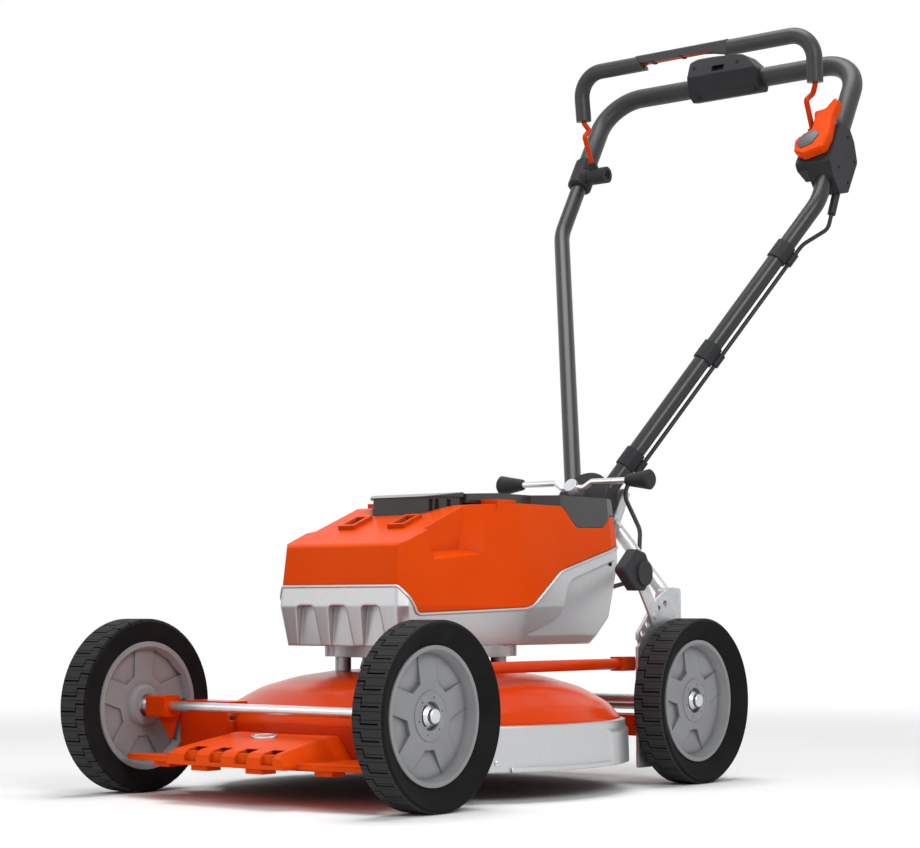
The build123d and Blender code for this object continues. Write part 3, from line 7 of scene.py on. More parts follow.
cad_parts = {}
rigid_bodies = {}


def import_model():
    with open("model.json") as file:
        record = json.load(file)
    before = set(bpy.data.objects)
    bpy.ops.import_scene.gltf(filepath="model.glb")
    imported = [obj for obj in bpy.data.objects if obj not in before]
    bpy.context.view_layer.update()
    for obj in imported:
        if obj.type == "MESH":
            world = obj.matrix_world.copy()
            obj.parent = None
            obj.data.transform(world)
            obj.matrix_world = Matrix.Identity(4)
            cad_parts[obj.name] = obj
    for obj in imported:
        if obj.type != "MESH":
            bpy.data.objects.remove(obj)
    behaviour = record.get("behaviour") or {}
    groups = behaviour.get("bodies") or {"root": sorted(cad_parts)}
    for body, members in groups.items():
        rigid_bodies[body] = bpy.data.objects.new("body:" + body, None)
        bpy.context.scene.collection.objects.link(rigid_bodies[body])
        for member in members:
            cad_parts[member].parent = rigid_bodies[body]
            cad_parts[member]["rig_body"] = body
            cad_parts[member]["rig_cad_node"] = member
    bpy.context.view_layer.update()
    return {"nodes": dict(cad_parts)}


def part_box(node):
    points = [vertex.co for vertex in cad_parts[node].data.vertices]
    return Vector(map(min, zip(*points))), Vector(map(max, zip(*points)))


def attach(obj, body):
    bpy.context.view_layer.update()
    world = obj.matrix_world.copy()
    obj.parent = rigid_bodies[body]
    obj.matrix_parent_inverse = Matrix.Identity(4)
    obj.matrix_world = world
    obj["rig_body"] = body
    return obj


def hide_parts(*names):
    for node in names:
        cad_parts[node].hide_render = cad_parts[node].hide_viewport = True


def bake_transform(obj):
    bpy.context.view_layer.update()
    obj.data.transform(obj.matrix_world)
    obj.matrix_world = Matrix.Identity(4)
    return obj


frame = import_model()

nodes = frame["nodes"]


# Cutter deck: a round dome pressed from sheet steel, with welded ears for the axle brackets.
# It is powder coated in bright orange, a thick even skin with a faint orange-peel ripple.
# Lengths here and below are in metres, apart from those whose name ends in mm.
MM_IN_METRE = 1000
DRIFT_ENDS = (0.3, 0.7)
BUMP_STRENGTH = 0.5
RAYS_EACH = 6


def linear(hex_colour):
    """sRGB hex colour as linear red, green, blue and alpha."""
    channels = []
    for start in (1, 3, 5):
        share = int(hex_colour[start:start + 2], 16) / 255
        channels.append(share / 12.92 if share <= 0.04045 else ((share + 0.055) / 1.055) ** 2.4)
    return (*channels, 1.0)


def wire(tree, kind, sockets=None, **settings):
    """Adds one node, sets its fields, and fills its sockets with values or links."""
    made = tree.nodes.new("ShaderNode" + kind)
    for field, value in settings.items():
        setattr(made, field, value)
    for socket, value in (sockets or {}).items():
        if isinstance(value, bpy.types.NodeSocket):
            tree.links.new(value, made.inputs[socket])
        else:
            made.inputs[socket].default_value = value
    return made


def finish_named(name, **sockets):
    """New node material with its own shader, whose plain values are set on the sockets."""
    material = bpy.data.materials.new(name)
    material.use_nodes = True
    shader = material.node_tree.nodes["Principled BSDF"]
    for socket, value in sockets.items():
        shader.inputs[socket.replace("_", " ")].default_value = value
    place = wire(material.node_tree, "TexCoord").outputs["Object"]
    return material, material.node_tree, shader, place


def base_colour(shader):
    """The colour that is wired to the shader so far."""
    return shader.inputs["Base Color"].links[0].from_socket


def shaded(tree, shader, place, light, dark, patch_mm):
    """Base colour that drifts a little between two shades in patches of that size."""
    patches = wire(tree, "TexNoise", {"Vector": place, "Scale": MM_IN_METRE / patch_mm, "Detail": 3.0})
    drift = wire(tree, "ValToRGB", {"Fac": patches.outputs["Fac"]})
    for stop, position, shade in zip(drift.color_ramp.elements, DRIFT_ENDS, (dark, light)):
        stop.position = position
        stop.color = linear(shade)
    tree.links.new(drift.outputs["Color"], shader.inputs["Base Color"])


def grained(tree, shader, place, grain_mm, depth_mm, edge_mm, low, high):
    """Bump and roughness from one grain, on edges eased by a small radius.

    Most real grain is finer, and is drawn about 1 to 3 mm wide so that it shows.
    """
    grain = wire(tree, "TexNoise", {"Vector": place, "Scale": MM_IN_METRE / grain_mm, "Detail": 2.0})
    rough = wire(tree, "MapRange", {"Value": grain.outputs["Fac"], "To Min": low, "To Max": high})
    tree.links.new(rough.outputs["Result"], shader.inputs["Roughness"])
    eased = wire(tree, "Bevel", {"Radius": edge_mm / MM_IN_METRE}, samples=RAYS_EACH)
    bump = wire(tree, "Bump", {"Height": grain.outputs["Fac"], "Normal": eased.outputs["Normal"],
                               "Strength": BUMP_STRENGTH, "Distance": depth_mm / MM_IN_METRE})
    tree.links.new(bump.outputs["Normal"], shader.inputs["Normal"])
    return bump


def painted_corner_shade(tree, shader, reach_mm, share):
    """Base colour painted darker in inner corners within that reach, as painted shade where little light gets
    in.
    """
    openness = wire(tree, "AmbientOcclusion", {"Distance": reach_mm / MM_IN_METRE}, samples=RAYS_EACH,
                    only_local=True)
    kept = wire(tree, "MapRange", {"Value": openness.outputs["AO"], "To Min": 1 - share, "To Max": 1.0})
    corner_shade = wire(tree, "VectorMath", {0: base_colour(shader), 1: kept.outputs["Result"]}, operation="MULTIPLY")
    tree.links.new(corner_shade.outputs["Vector"], shader.inputs["Base Color"])


# A Mix node keeps its two colours and its result at these socket numbers.
COLOUR_A, COLOUR_B, COLOUR_OUT = 6, 7, 2


def overlaid(tree, shader, share, second):
    """Base colour that gives way to a second one where the share is 1."""
    mixed = wire(tree, "Mix", {"Factor": share, COLOUR_A: base_colour(shader), COLOUR_B: linear(second)},
                 data_type="RGBA")
    tree.links.new(mixed.outputs[COLOUR_OUT], shader.inputs["Base Color"])


def dress(material, *names):
    """Gives the named CAD nodes that finish alone."""
    for name in names:
        nodes[name].data.materials.clear()
        nodes[name].data.materials.append(material)


def orange_coat(name):
    """Powder coat: a soft gloss, with a ripple about 3 mm across that breaks up its highlights, and painted
    shade in its inner corners.
    """
    coat, tree, shader, place = finish_named(name, IOR=1.5, Specular_IOR_Level=0.1)
    shaded(tree, shader, place, light="#D43E02", dark="#CD3901", patch_mm=140)
    # Inner corners of the coat are painted darker here, as painted shade.
    painted_corner_shade(tree, shader, reach_mm=14.0, share=0.5)
    grained(tree, shader, place, grain_mm=3.0, depth_mm=0.012, edge_mm=1.2, low=0.2, high=0.26)
    return coat, tree, shader


# Faces that look down are painted dark, as painted shade under the deck, so little orange is thrown on the
# ground.
UNDERSIDE_Z = -0.2
deck_coat, tree, shader = orange_coat("deck_powder_coat_with_painted_underside_shade")
facing = wire(tree, "SeparateXYZ", {"Vector": wire(tree, "TexCoord").outputs["Normal"]})
underside_shade = wire(tree, "Math", {0: facing.outputs["Z"], 1: UNDERSIDE_Z}, operation="LESS_THAN")
# Down-facing faces of the deck take a dark grey here: painted shade.
overlaid(tree, shader, underside_shade.outputs[0], "#3B3735")
dress(deck_coat, "cutter_deck")


# Front apron: a tough orange moulding with runner feet and cooling slots, bolted under the deck's front.
# The swing-arm brackets beside it are folded steel in the deck's own powder coat.
# Moulded ABS has a satin skin with a fine spark-eroded grain, which softens its highlights.
orange_abs, tree, shader, place = finish_named("orange_moulded_abs", IOR=1.53, Specular_IOR_Level=0.05)
shaded(tree, shader, place, light="#EB4F06", dark="#E34804", patch_mm=180)
# Inner corners of the moulding are painted darker here, as painted shade.
painted_corner_shade(tree, shader, reach_mm=14.0, share=0.6)
grained(tree, shader, place, grain_mm=1.4, depth_mm=0.03, edge_mm=3.5, low=0.26, high=0.34)
dress(orange_abs, "front_apron")
powder_coat = orange_coat("orange_powder_coat")[0]
dress(powder_coat, "front_brackets")


# Badge plate: a bare oval of pressed aluminium with a raised rim.
# It is glued into a shallow seat on the slope of the front apron.
def fresh():
    """Nothing selected, so that the next primitive stands alone."""
    bpy.ops.object.select_all(action="DESELECT")


def faces_facing(piece, direction, limit):
    """In edit mode, selects just the faces whose normal lies that close to the direction."""
    bpy.ops.mesh.select_all(action="DESELECT")
    bpy.ops.object.mode_set(mode="OBJECT")
    for face in piece.data.polygons:
        face.select = face.normal.dot(Vector(direction)) > limit
    bpy.ops.object.mode_set(mode="EDIT")
    bpy.ops.mesh.select_mode(type="FACE")


def set_down(piece, place, turn):
    """Turns a finished piece, moves it to its place and puts both into its mesh."""
    piece.rotation_euler = turn
    piece.location = place
    bpy.ops.object.transform_apply(location=True, rotation=True, scale=True)


UP = (0, 0, 1)
NEARLY_UP = 0.9
FLAT_ON_TOP = 0.999
CRISP_EDGE = math.radians(35)
BADGE_LENGTH = 0.038
BADGE_WIDTH = 0.023
BADGE_THICKNESS = 0.0024
BADGE_EDGE = 0.0006
BADGE_RIM = 0.0016
BADGE_SINK = 0.0006
BADGE_PLACE = (-0.012, -0.4725, 0.0748)
APRON_SLOPE = math.radians(9.3)
fresh()
bpy.ops.mesh.primitive_cylinder_add(vertices=64, radius=BADGE_LENGTH / 2, depth=BADGE_THICKNESS)
badge = bpy.context.object
badge.name = "apron_badge"
bpy.ops.object.mode_set(mode="EDIT")
bpy.ops.mesh.select_all(action="SELECT")
bpy.ops.transform.resize(value=(1, BADGE_WIDTH / BADGE_LENGTH, 1))
faces_facing(badge, UP, NEARLY_UP)
bpy.ops.mesh.bevel(offset=BADGE_EDGE, segments=3, affect="EDGES")
faces_facing(badge, UP, FLAT_ON_TOP)
bpy.ops.mesh.inset(thickness=BADGE_RIM)
bpy.ops.mesh.extrude_region_move(TRANSFORM_OT_translate={"value": (0, 0, -BADGE_SINK)})
bpy.ops.object.mode_set(mode="OBJECT")
set_down(badge, BADGE_PLACE, (APRON_SLOPE, 0, 0))
bpy.ops.object.shade_smooth_by_angle(angle=CRISP_EDGE)
# Bright-dipped aluminium is a pale mirror, dulled by a very fine even etch.
badge_metal, tree, shader, place = finish_named("bright_dipped_aluminium", Metallic=1.0)
shaded(tree, shader, place, light="#DADBDD", dark="#CFD0D2", patch_mm=20)
grained(tree, shader, place, grain_mm=0.8, depth_mm=0.01, edge_mm=0.3, low=0.2, high=0.32)
badge.data.materials.append(badge_metal)
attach(badge, "chassis")


# Side skirts: moulded guards wrapped round the deck, each with a small pan-head screw at its front end.
# The moulding is painted silver, so that fine metal flakes glint in a satin lacquer.
# Real flakes are far finer, and are drawn 1.2 mm wide so that they show.
def celled(tree, shader, place, light, dark, cell_mm):
    """Base colour that steps between two shades from one small cell to the next."""
    cells = wire(tree, "TexVoronoi", {"Vector": place, "Scale": MM_IN_METRE / cell_mm})
    steps = wire(tree, "ValToRGB", {"Fac": cells.outputs["Color"]})
    for stop, shade in zip(steps.color_ramp.elements, (dark, light)):
        stop.color = linear(shade)
    tree.links.new(steps.outputs["Color"], shader.inputs["Base Color"])


silver_paint, tree, shader, place = finish_named("silver_flake_paint", IOR=1.5, Metallic=0.75)
celled(tree, shader, place, light="#C8C9CB", dark="#BFC0C2", cell_mm=1.2)
# Inner corners of the silver paint are painted darker here, as painted shade.
painted_corner_shade(tree, shader, reach_mm=10.0, share=0.55)
grained(tree, shader, place, grain_mm=2.0, depth_mm=0.02, edge_mm=4.0, low=0.28, high=0.38)
dress(silver_paint, "side_skirts")

SCREW_RADIUS = 0.0034
SCREW_HEIGHT = 0.0022
CROWN_SHARE = 0.4
RIM_SHARE = 0.25
RECESS_SHARE = 0.5
RECESS_TAPER = 0.75


def pan_screw(name, place, facing):
    """Pan-head screw with a tapered recess, its head standing on a surface that looks along facing."""
    fresh()
    bpy.ops.mesh.primitive_cylinder_add(vertices=30, radius=SCREW_RADIUS, depth=SCREW_HEIGHT)
    screw = bpy.context.object
    screw.name = name
    bpy.ops.object.mode_set(mode="EDIT")
    faces_facing(screw, UP, NEARLY_UP)
    bpy.ops.mesh.bevel(offset=SCREW_HEIGHT * CROWN_SHARE, segments=3, affect="EDGES")
    faces_facing(screw, UP, FLAT_ON_TOP)
    bpy.ops.mesh.inset(thickness=SCREW_RADIUS * RIM_SHARE)
    bpy.ops.mesh.extrude_region_move(TRANSFORM_OT_translate={"value": (0, 0, -SCREW_HEIGHT * RECESS_SHARE)})
    bpy.ops.transform.resize(value=(RECESS_TAPER, RECESS_TAPER, 1))
    bpy.ops.object.mode_set(mode="OBJECT")
    set_down(screw, place, Vector(facing).to_track_quat("Z", "Y").to_euler())
    bpy.ops.object.shade_smooth_by_angle(angle=CRISP_EDGE)
    return screw


def joined(name, pieces):
    """Like pieces on one body as one object."""
    fresh()
    for piece in pieces:
        piece.select_set(True)
    bpy.context.view_layer.objects.active = pieces[0]
    bpy.ops.object.join()
    pieces[0].name = name
    return pieces[0]


DECK_CENTRE_Y = -0.20055
SKIRT_RADIUS = 0.2567
SKIRT_SCREW_Z = 0.0455
SKIRT_SCREW_TURN = math.radians(-30.8)
skirt_screws = []
for side in (1, -1):
    out = Vector((side * math.cos(SKIRT_SCREW_TURN), math.sin(SKIRT_SCREW_TURN), 0))
    spot = Vector((0, DECK_CENTRE_Y, SKIRT_SCREW_Z)) + out * SKIRT_RADIUS
    skirt_screws.append(pan_screw("skirt_screw", spot, out))
# Zinc-plated steel is bright and slightly blue, with a thin drift of tone from the bath.
zinc_plate, tree, shader, place = finish_named("bright_zinc_plate", Metallic=1.0)
shaded(tree, shader, place, light="#DCDDE0", dark="#C6C8CC", patch_mm=25)
grained(tree, shader, place, grain_mm=1.2, depth_mm=0.01, edge_mm=0.5, low=0.26, high=0.38)
skirt_fixings = joined("skirt_screws", skirt_screws)
skirt_fixings.data.materials.append(zinc_plate)
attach(skirt_fixings, "chassis")


# Motor mount, motor and blade: a cast ring on four legs carries the power head over the deck.
# The motor's can sits inside it, and the blade hangs below on an adapter and one bolt.
# Pressure die-cast aluminium keeps a dull skin with a slight sandy grain.
cast_aluminium, tree, shader, place = finish_named("die_cast_aluminium", Metallic=0.9)
shaded(tree, shader, place, light="#BDBEC0", dark="#A9AAAC", patch_mm=30)
grained(tree, shader, place, grain_mm=1.6, depth_mm=0.08, edge_mm=1.0, low=0.38, high=0.55)
dress(cast_aluminium, "motor_mount", "blade_adapter")
# Black satin paint on steel hides all but a soft sheen.
black_satin, tree, shader, place = finish_named("black_satin_paint", IOR=1.5, Specular_IOR_Level=0.15)
shaded(tree, shader, place, light="#262729", dark="#1D1E20", patch_mm=60)
grained(tree, shader, place, grain_mm=2.0, depth_mm=0.05, edge_mm=0.8, low=0.35, high=0.5)
dress(black_satin, "motor_can", "blade")
# Turned steel shows the marks of the tool as a slight change of gloss.
turned_steel, tree, shader, place = finish_named("turned_steel", Metallic=1.0)
shaded(tree, shader, place, light="#B4B5B7", dark="#9FA0A2", patch_mm=20)
grained(tree, shader, place, grain_mm=1.0, depth_mm=0.02, edge_mm=0.6, low=0.24, high=0.4)
dress(turned_steel, "motor_rotor", "blade_bolt")


# Axles, swing arms and link: bright ground axles in arms of pressed steel, powder coated like the deck.
# A round link rod on the left ties the front arms to the rear, so that all wheels rise together.
dress(zinc_plate, "front_axle", "rear_axle", "front_axle_nuts", "rear_axle_nuts")
dress(powder_coat, "front_arms", "rear_arms", "link_rod")
dress(turned_steel, "front_bearings", "rear_bearings", "front_pivot_pins", "rear_pivot_shaft")


# Rear brackets and height lever: plates punched from galvanised steel sheet, with an arc of index holes.
# Hot zinc sets in dull crystals some 6 mm across, each with its own shade.
galvanised, tree, shader, place = finish_named("galvanised_sheet", Metallic=0.8)
celled(tree, shader, place, light="#CED0D2", dark="#B9BCBF", cell_mm=6.0)
grained(tree, shader, place, grain_mm=2.5, depth_mm=0.03, edge_mm=0.6, low=0.34, high=0.5)
dress(galvanised, "rear_brackets", "height_lever")


# Height knob: a long grip of glass-filled nylon, moulded on the end of the height lever.
# Its dark grey skin has a dry fine grain, which scatters the light that falls on it.
dark_nylon, tree, shader, place = finish_named("dark_grained_nylon", IOR=1.53, Specular_IOR_Level=0.14)
shaded(tree, shader, place, light="#333436", dark="#2B2C2E", patch_mm=90)
grained(tree, shader, place, grain_mm=1.1, depth_mm=0.08, edge_mm=1.2, low=0.42, high=0.58)
dress(dark_nylon, "height_knob")


# Wheels: grey moulded rims with five raised spokes and a dotted hub ring, on ring bearings.
# The rim's polypropylene is slightly waxy, with faint flow shading, and its inner corners are painted darker
# as painted shade.
# A low bead moulded round the hub frames the ring of dots; it rises a part of its width.
def middle_of(name):
    """Middle of a CAD node's box."""
    low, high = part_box(name)
    return (low + high) / 2


def skin_of(name):
    """A CAD node's surface, for finding points on it."""
    return BVHTree.FromObject(nodes[name], bpy.context.evaluated_depsgraph_get())


rim_grey, tree, shader, place = finish_named("grey_moulded_polypropylene", IOR=1.49, Specular_IOR_Level=0.3)
shaded(tree, shader, place, light="#949597", dark="#8A8B8D", patch_mm=45)
# Inner corners of the rim are painted darker here, as painted shade.
painted_corner_shade(tree, shader, reach_mm=9.0, share=0.75)
grained(tree, shader, place, grain_mm=1.2, depth_mm=0.04, edge_mm=1.0, low=0.34, high=0.46)
HUB_BEAD_RADIUS = 0.027
HUB_BEAD_WIDTH = 0.0026
HUB_BEAD_RISE = 0.45
CLEAR_OF_WHEEL = 0.1
for end in ("front", "rear"):
    for side, outward in (("left", 1), ("right", -1)):
        rim_name = f"{end}_{side}_rim"
        dress(rim_grey, rim_name)
        middle = middle_of(rim_name)
        start = Vector((middle.x + outward * CLEAR_OF_WHEEL, middle.y + HUB_BEAD_RADIUS, middle.z))
        hub_face = skin_of(rim_name).ray_cast(start, Vector((-outward, 0, 0)))[0]
        fresh()
        bpy.ops.mesh.primitive_torus_add(major_radius=HUB_BEAD_RADIUS, minor_radius=HUB_BEAD_WIDTH / 2,
                                         major_segments=72, minor_segments=10)
        bead = bpy.context.object
        bead.name = f"{end}_{side}_hub_bead"
        bpy.ops.object.mode_set(mode="EDIT")
        bpy.ops.mesh.select_all(action="SELECT")
        bpy.ops.transform.resize(value=(1, 1, 2 * HUB_BEAD_RISE))
        bpy.ops.object.mode_set(mode="OBJECT")
        set_down(bead, (hub_face.x, middle.y, middle.z), (0, math.radians(90), 0))
        bpy.ops.object.shade_smooth()
        bead.data.materials.append(rim_grey)
        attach(bead, f"{end}_{side}_wheel")


# Tyres: solid black rubber bands moulded with stepped grooves, pressed over the rims.
# Between the grooves run fine sipes, cut by thin blades in the mould; they are drawn about 0.8 mm wide.
# Matt rubber gives almost no highlight. The tread's lands are painted paler than the side walls, and the
# sipes between them are left dark as painted shade.
SIPES_A_TURN = 72
SIPE_SHARE = 0.09
SIPE_DEPTH = 0.0012
SIPE_STRENGTH = 0.6
TREAD_RADIUS = 0.1035
# A Mix node keeps its two vectors and their result at these socket numbers.
VECTOR_A, VECTOR_B, VECTOR_OUT = 4, 5, 1


def tyre_rubber(name, centre):
    """Matt black rubber with sipes across the tread about the wheel's own axle; its lands are painted paler,
    so the sipes show dark as painted shade.
    """
    rubber, tree, shader, place = finish_named(name, IOR=1.52, Specular_IOR_Level=0.05)
    shaded(tree, shader, place, light="#202021", dark="#19191A", patch_mm=40)
    bump = grained(tree, shader, place, grain_mm=1.6, depth_mm=0.12, edge_mm=0.8, low=0.62, high=0.8)
    about = wire(tree, "Mapping", {"Vector": place, "Location": [-value for value in centre]})
    parts = wire(tree, "SeparateXYZ", {"Vector": about.outputs["Vector"]})
    angle = wire(tree, "Math", {0: parts.outputs["Z"], 1: parts.outputs["Y"]}, operation="ARCTAN2")
    turns = wire(tree, "Math", {0: angle.outputs[0], 1: SIPES_A_TURN / math.tau}, operation="MULTIPLY")
    phase = wire(tree, "Math", {0: turns.outputs[0]}, operation="FRACT")
    land = wire(tree, "Math", {0: phase.outputs[0], 1: SIPE_SHARE}, operation="GREATER_THAN")
    reach = wire(tree, "CombineXYZ", {"Y": parts.outputs["Y"], "Z": parts.outputs["Z"]})
    radius = wire(tree, "VectorMath", {0: reach.outputs[0]}, operation="LENGTH")
    tread = wire(tree, "Math", {0: radius.outputs["Value"], 1: TREAD_RADIUS}, operation="GREATER_THAN")
    # The tread's lands are painted paler here, so that the sipes stay dark as painted shade in their cuts.
    pale_lands = wire(tree, "Math", {0: tread.outputs[0], 1: land.outputs[0]}, operation="MULTIPLY")
    overlaid(tree, shader, pale_lands.outputs[0], "#39393A")
    cut = wire(tree, "Bump", {"Height": land.outputs[0], "Normal": bump.outputs["Normal"],
                              "Strength": SIPE_STRENGTH, "Distance": SIPE_DEPTH})
    chosen = wire(tree, "Mix", {"Factor": tread.outputs[0], VECTOR_A: bump.outputs["Normal"],
                                VECTOR_B: cut.outputs["Normal"]}, data_type="VECTOR")
    tree.links.new(chosen.outputs[VECTOR_OUT], shader.inputs["Normal"])
    return rubber


for end in ("front", "rear"):
    for side in ("left", "right"):
        tyre_name = f"{end}_{side}_tyre"
        dress(tyre_rubber(f"{tyre_name}_rubber", middle_of(tyre_name)), tyre_name)


# Power head: a silver lower shell and an orange hood, parted along a stepped belt line.
# Both are thick mouldings screwed together; the roof carries four framed air vents.
dress(silver_paint, "lower_shell")
dress(orange_abs, "upper_shell")
SHELL_SCREW_X = 0.1143
SHELL_SCREW_Y = 0.0531
SHELL_SCREW_Z = 0.2812
shell_screws = []
for side in (1, -1):
    spot = (side * SHELL_SCREW_X, SHELL_SCREW_Y, SHELL_SCREW_Z)
    shell_screws.append(pan_screw("shell_screw", spot, (side, 0, 0)))
shell_fixings = joined("shell_screws", shell_screws)
shell_fixings.data.materials.append(black_satin)
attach(shell_fixings, "chassis")

MERGE_REACH = 0.00001


def merged_copy(node_name, name):
    """Copy of a CAD node with its loose triangles merged, free of the node's own marks."""
    fresh()
    nodes[node_name].select_set(True)
    bpy.context.view_layer.objects.active = nodes[node_name]
    bpy.ops.object.duplicate()
    copied = bpy.context.object
    copied.name = name
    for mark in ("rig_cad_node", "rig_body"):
        del copied[mark]
    bpy.ops.object.parent_clear(type="CLEAR_KEEP_TRANSFORM")
    bpy.ops.object.mode_set(mode="EDIT")
    bpy.ops.mesh.select_all(action="SELECT")
    bpy.ops.mesh.remove_doubles(threshold=MERGE_REACH)
    bpy.ops.object.mode_set(mode="OBJECT")
    return copied


# The lower shell's top edge is rolled out to a small bead, which catches the light all along the belt line.
# It follows the edges of the shell's outer walls that lie against the hood.
LIP_RADIUS = 0.0021
LIP_DROP = 0.0017
SEAM_REACH = 0.0012
WALL_LEAN = 0.4
lip = merged_copy("lower_shell", "shell_lip")
bpy.ops.object.mode_set(mode="EDIT")
bpy.ops.mesh.select_mode(type="EDGE")
bpy.ops.mesh.select_all(action="DESELECT")
bpy.ops.object.mode_set(mode="OBJECT")
hood_skin = skin_of("upper_shell")
shell_middle = middle_of("lower_shell")
at_seam = [hood_skin.find_nearest(point.co)[3] < SEAM_REACH for point in lip.data.vertices]
walls = {}
for face in lip.data.polygons:
    outward = Vector((face.center.x - shell_middle.x, face.center.y - shell_middle.y, 0))
    if abs(face.normal.z) < WALL_LEAN and face.normal.dot(outward) > 0:
        for key in face.edge_keys:
            walls[key] = walls.get(key, 0) + 1
for edge in lip.data.edges:
    ends = tuple(sorted(edge.vertices))
    edge.select = at_seam[ends[0]] and at_seam[ends[1]] and walls.get(ends, 0) == 1
bpy.ops.object.mode_set(mode="EDIT")
bpy.ops.mesh.select_all(action="INVERT")
bpy.ops.mesh.delete(type="EDGE")
bpy.ops.mesh.select_all(action="SELECT")
bpy.ops.mesh.delete_loose(use_verts=True, use_edges=False, use_faces=False)
bpy.ops.object.mode_set(mode="OBJECT")
bpy.ops.object.convert(target="CURVE")
lip = bpy.context.object
lip.data.bevel_depth = LIP_RADIUS
lip.data.bevel_resolution = 3
lip.data.use_fill_caps = True
bpy.ops.object.convert(target="MESH")
lip = bpy.context.object
set_down(lip, (0, 0, -LIP_DROP), (0, 0, 0))
bpy.ops.object.shade_smooth()
lip.data.materials.clear()
lip.data.materials.append(silver_paint)
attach(lip, "chassis")
# Soot-black polypropylene, which swallows light, makes the vents' grilles and what lies inside the head.
inner_black, tree, shader, place = finish_named("black_polypropylene", IOR=1.49, Specular_IOR_Level=0.25)
shaded(tree, shader, place, light="#1F2022", dark="#18191A", patch_mm=50)
grained(tree, shader, place, grain_mm=1.4, depth_mm=0.06, edge_mm=0.6, low=0.5, high=0.65)
dress(inner_black, "vent_inserts", "battery_tray", "electronics_box", "cable_gland")


# Battery lid and its housing: dark nylon covers over the battery bay at the back of the hood.
# The housing is screwed to the hood, and the lid hangs on a steel pin at its tail.
# Both are moulded in a polished tool, so that the nylon shines.
polished_nylon, tree, shader, place = finish_named("polished_dark_nylon", IOR=1.53, Specular_IOR_Level=0.4)
shaded(tree, shader, place, light="#38393A", dark="#303132", patch_mm=90)
grained(tree, shader, place, grain_mm=2.0, depth_mm=0.02, edge_mm=1.5, low=0.16, high=0.26)
dress(polished_nylon, "battery_lid", "lid_housing")
dress(turned_steel, "lid_hinge_pin")


# Yoke: two stout steel tubes and a folded channel plate that carry the handle.
# They are welded together and painted in the same silver as the lower shell.
dress(silver_paint, "yoke_tubes", "yoke_head")


# Swivel foot and clamp: a round nylon foot that holds both legs of the handle and turns on a bolt.
# A cranked cross rod of plated steel, with a nylon knob on each end, locks it.
dress(dark_nylon, "handle_foot", "clamp_knobs")
dress(zinc_plate, "clamp_lever")


# Handle: one steel tube bent to a wide hoop, with soft grips of foamed rubber pushed over its bar.
# Charcoal powder coat lies smooth on the drawn tube, so that it shows long soft highlights.
charcoal_coat, tree, shader, place = finish_named("charcoal_powder_coat", IOR=1.5, Specular_IOR_Level=0.4)
shaded(tree, shader, place, light="#2C2D2F", dark="#27282A", patch_mm=120)
grained(tree, shader, place, grain_mm=2.2, depth_mm=0.004, edge_mm=0.05, low=0.28, high=0.32)
dress(charcoal_coat, "handle_tube")
# Foamed rubber has a fine leathery stipple, which spreads its highlights wide.
grip_rubber, tree, shader, place = finish_named("stippled_grip_rubber", IOR=1.52, Specular_IOR_Level=0.35)
shaded(tree, shader, place, light="#333435", dark="#2B2C2D", patch_mm=70)
grained(tree, shader, place, grain_mm=1.8, depth_mm=0.06, edge_mm=0.2, low=0.36, high=0.46)
dress(grip_rubber, "handle_grips")


# Switch box, right clamp and panel: dark nylon shells screwed together round the handle's tube.
# The panel in the middle of the bar carries the power button on its rear face.
dress(dark_nylon, "control_box", "right_clamp", "control_panel")
dress(inner_black, "power_button")
PANEL_FRONT = (0, -0.935, 0.355)
PANEL_CHIN = (0, -0.6, -0.8)
PANEL_SCREWS = [((0.0261, 0.5371, 1.0692), PANEL_FRONT), ((-0.0519, 0.5375, 1.0703), PANEL_FRONT),
                ((0.0550, 0.5434, 1.0219), PANEL_CHIN), ((-0.0458, 0.5434, 1.0219), PANEL_CHIN)]
panel_screws = [pan_screw("panel_screw", spot, facing) for spot, facing in PANEL_SCREWS]
panel_fixings = joined("panel_screws", panel_screws)
panel_fixings.data.materials.append(black_satin)
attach(panel_fixings, "handle")


# Bail: a cranked spring-steel rod that pivots on both stems and is squeezed to the bar.
# It has the deck's orange powder coat, rubber sleeves where the fingers hold it and nylon hubs.
dress(powder_coat, "bail_rod")
dress(grip_rubber, "bail_grips")
dress(dark_nylon, "bail_hubs")


# Thumb lever: an orange moulded rocker on the switch box, pressed with the thumb.
# A bare six-sided plate of grey laminate is let into its pad.
dress(orange_abs, "thumb_lever")
CAP_RADIUS = 0.0185
CAP_THICKNESS = 0.0016
CAP_STRETCH = (1.05, 0.74, 1)
CAP_EDGE = 0.0004
CAP_PLACE = (0.2100, 0.4258, 0.9027)
HALF_SIDE = math.radians(30)
CAP_TURN = math.radians(14)
FACE_LEAN = math.radians(59.9)
fresh()
bpy.ops.mesh.primitive_cylinder_add(vertices=6, radius=CAP_RADIUS, depth=CAP_THICKNESS)
cap = bpy.context.object
cap.name = "thumb_cap"
bpy.ops.object.mode_set(mode="EDIT")
bpy.ops.mesh.select_all(action="SELECT")
bpy.ops.transform.resize(value=CAP_STRETCH)
bpy.ops.mesh.select_mode(type="EDGE")
bpy.ops.mesh.bevel(offset=CAP_EDGE, segments=2, affect="EDGES")
bpy.ops.object.mode_set(mode="OBJECT")
set_down(cap, (0, 0, 0), (0, 0, HALF_SIDE + CAP_TURN))
set_down(cap, CAP_PLACE, (FACE_LEAN, 0, 0))
bpy.ops.object.shade_smooth_by_angle(angle=CRISP_EDGE)
# Laminate is a smooth film on a plastic core, so it has more gloss than the moulding round it.
cap_grey, tree, shader, place = finish_named("grey_laminate", IOR=1.5, Specular_IOR_Level=0.3)
shaded(tree, shader, place, light="#5E6063", dark="#57595C", patch_mm=20)
grained(tree, shader, place, grain_mm=1.0, depth_mm=0.02, edge_mm=0.3, low=0.3, high=0.4)
cap.data.materials.append(cap_grey)
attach(cap, "thumb")
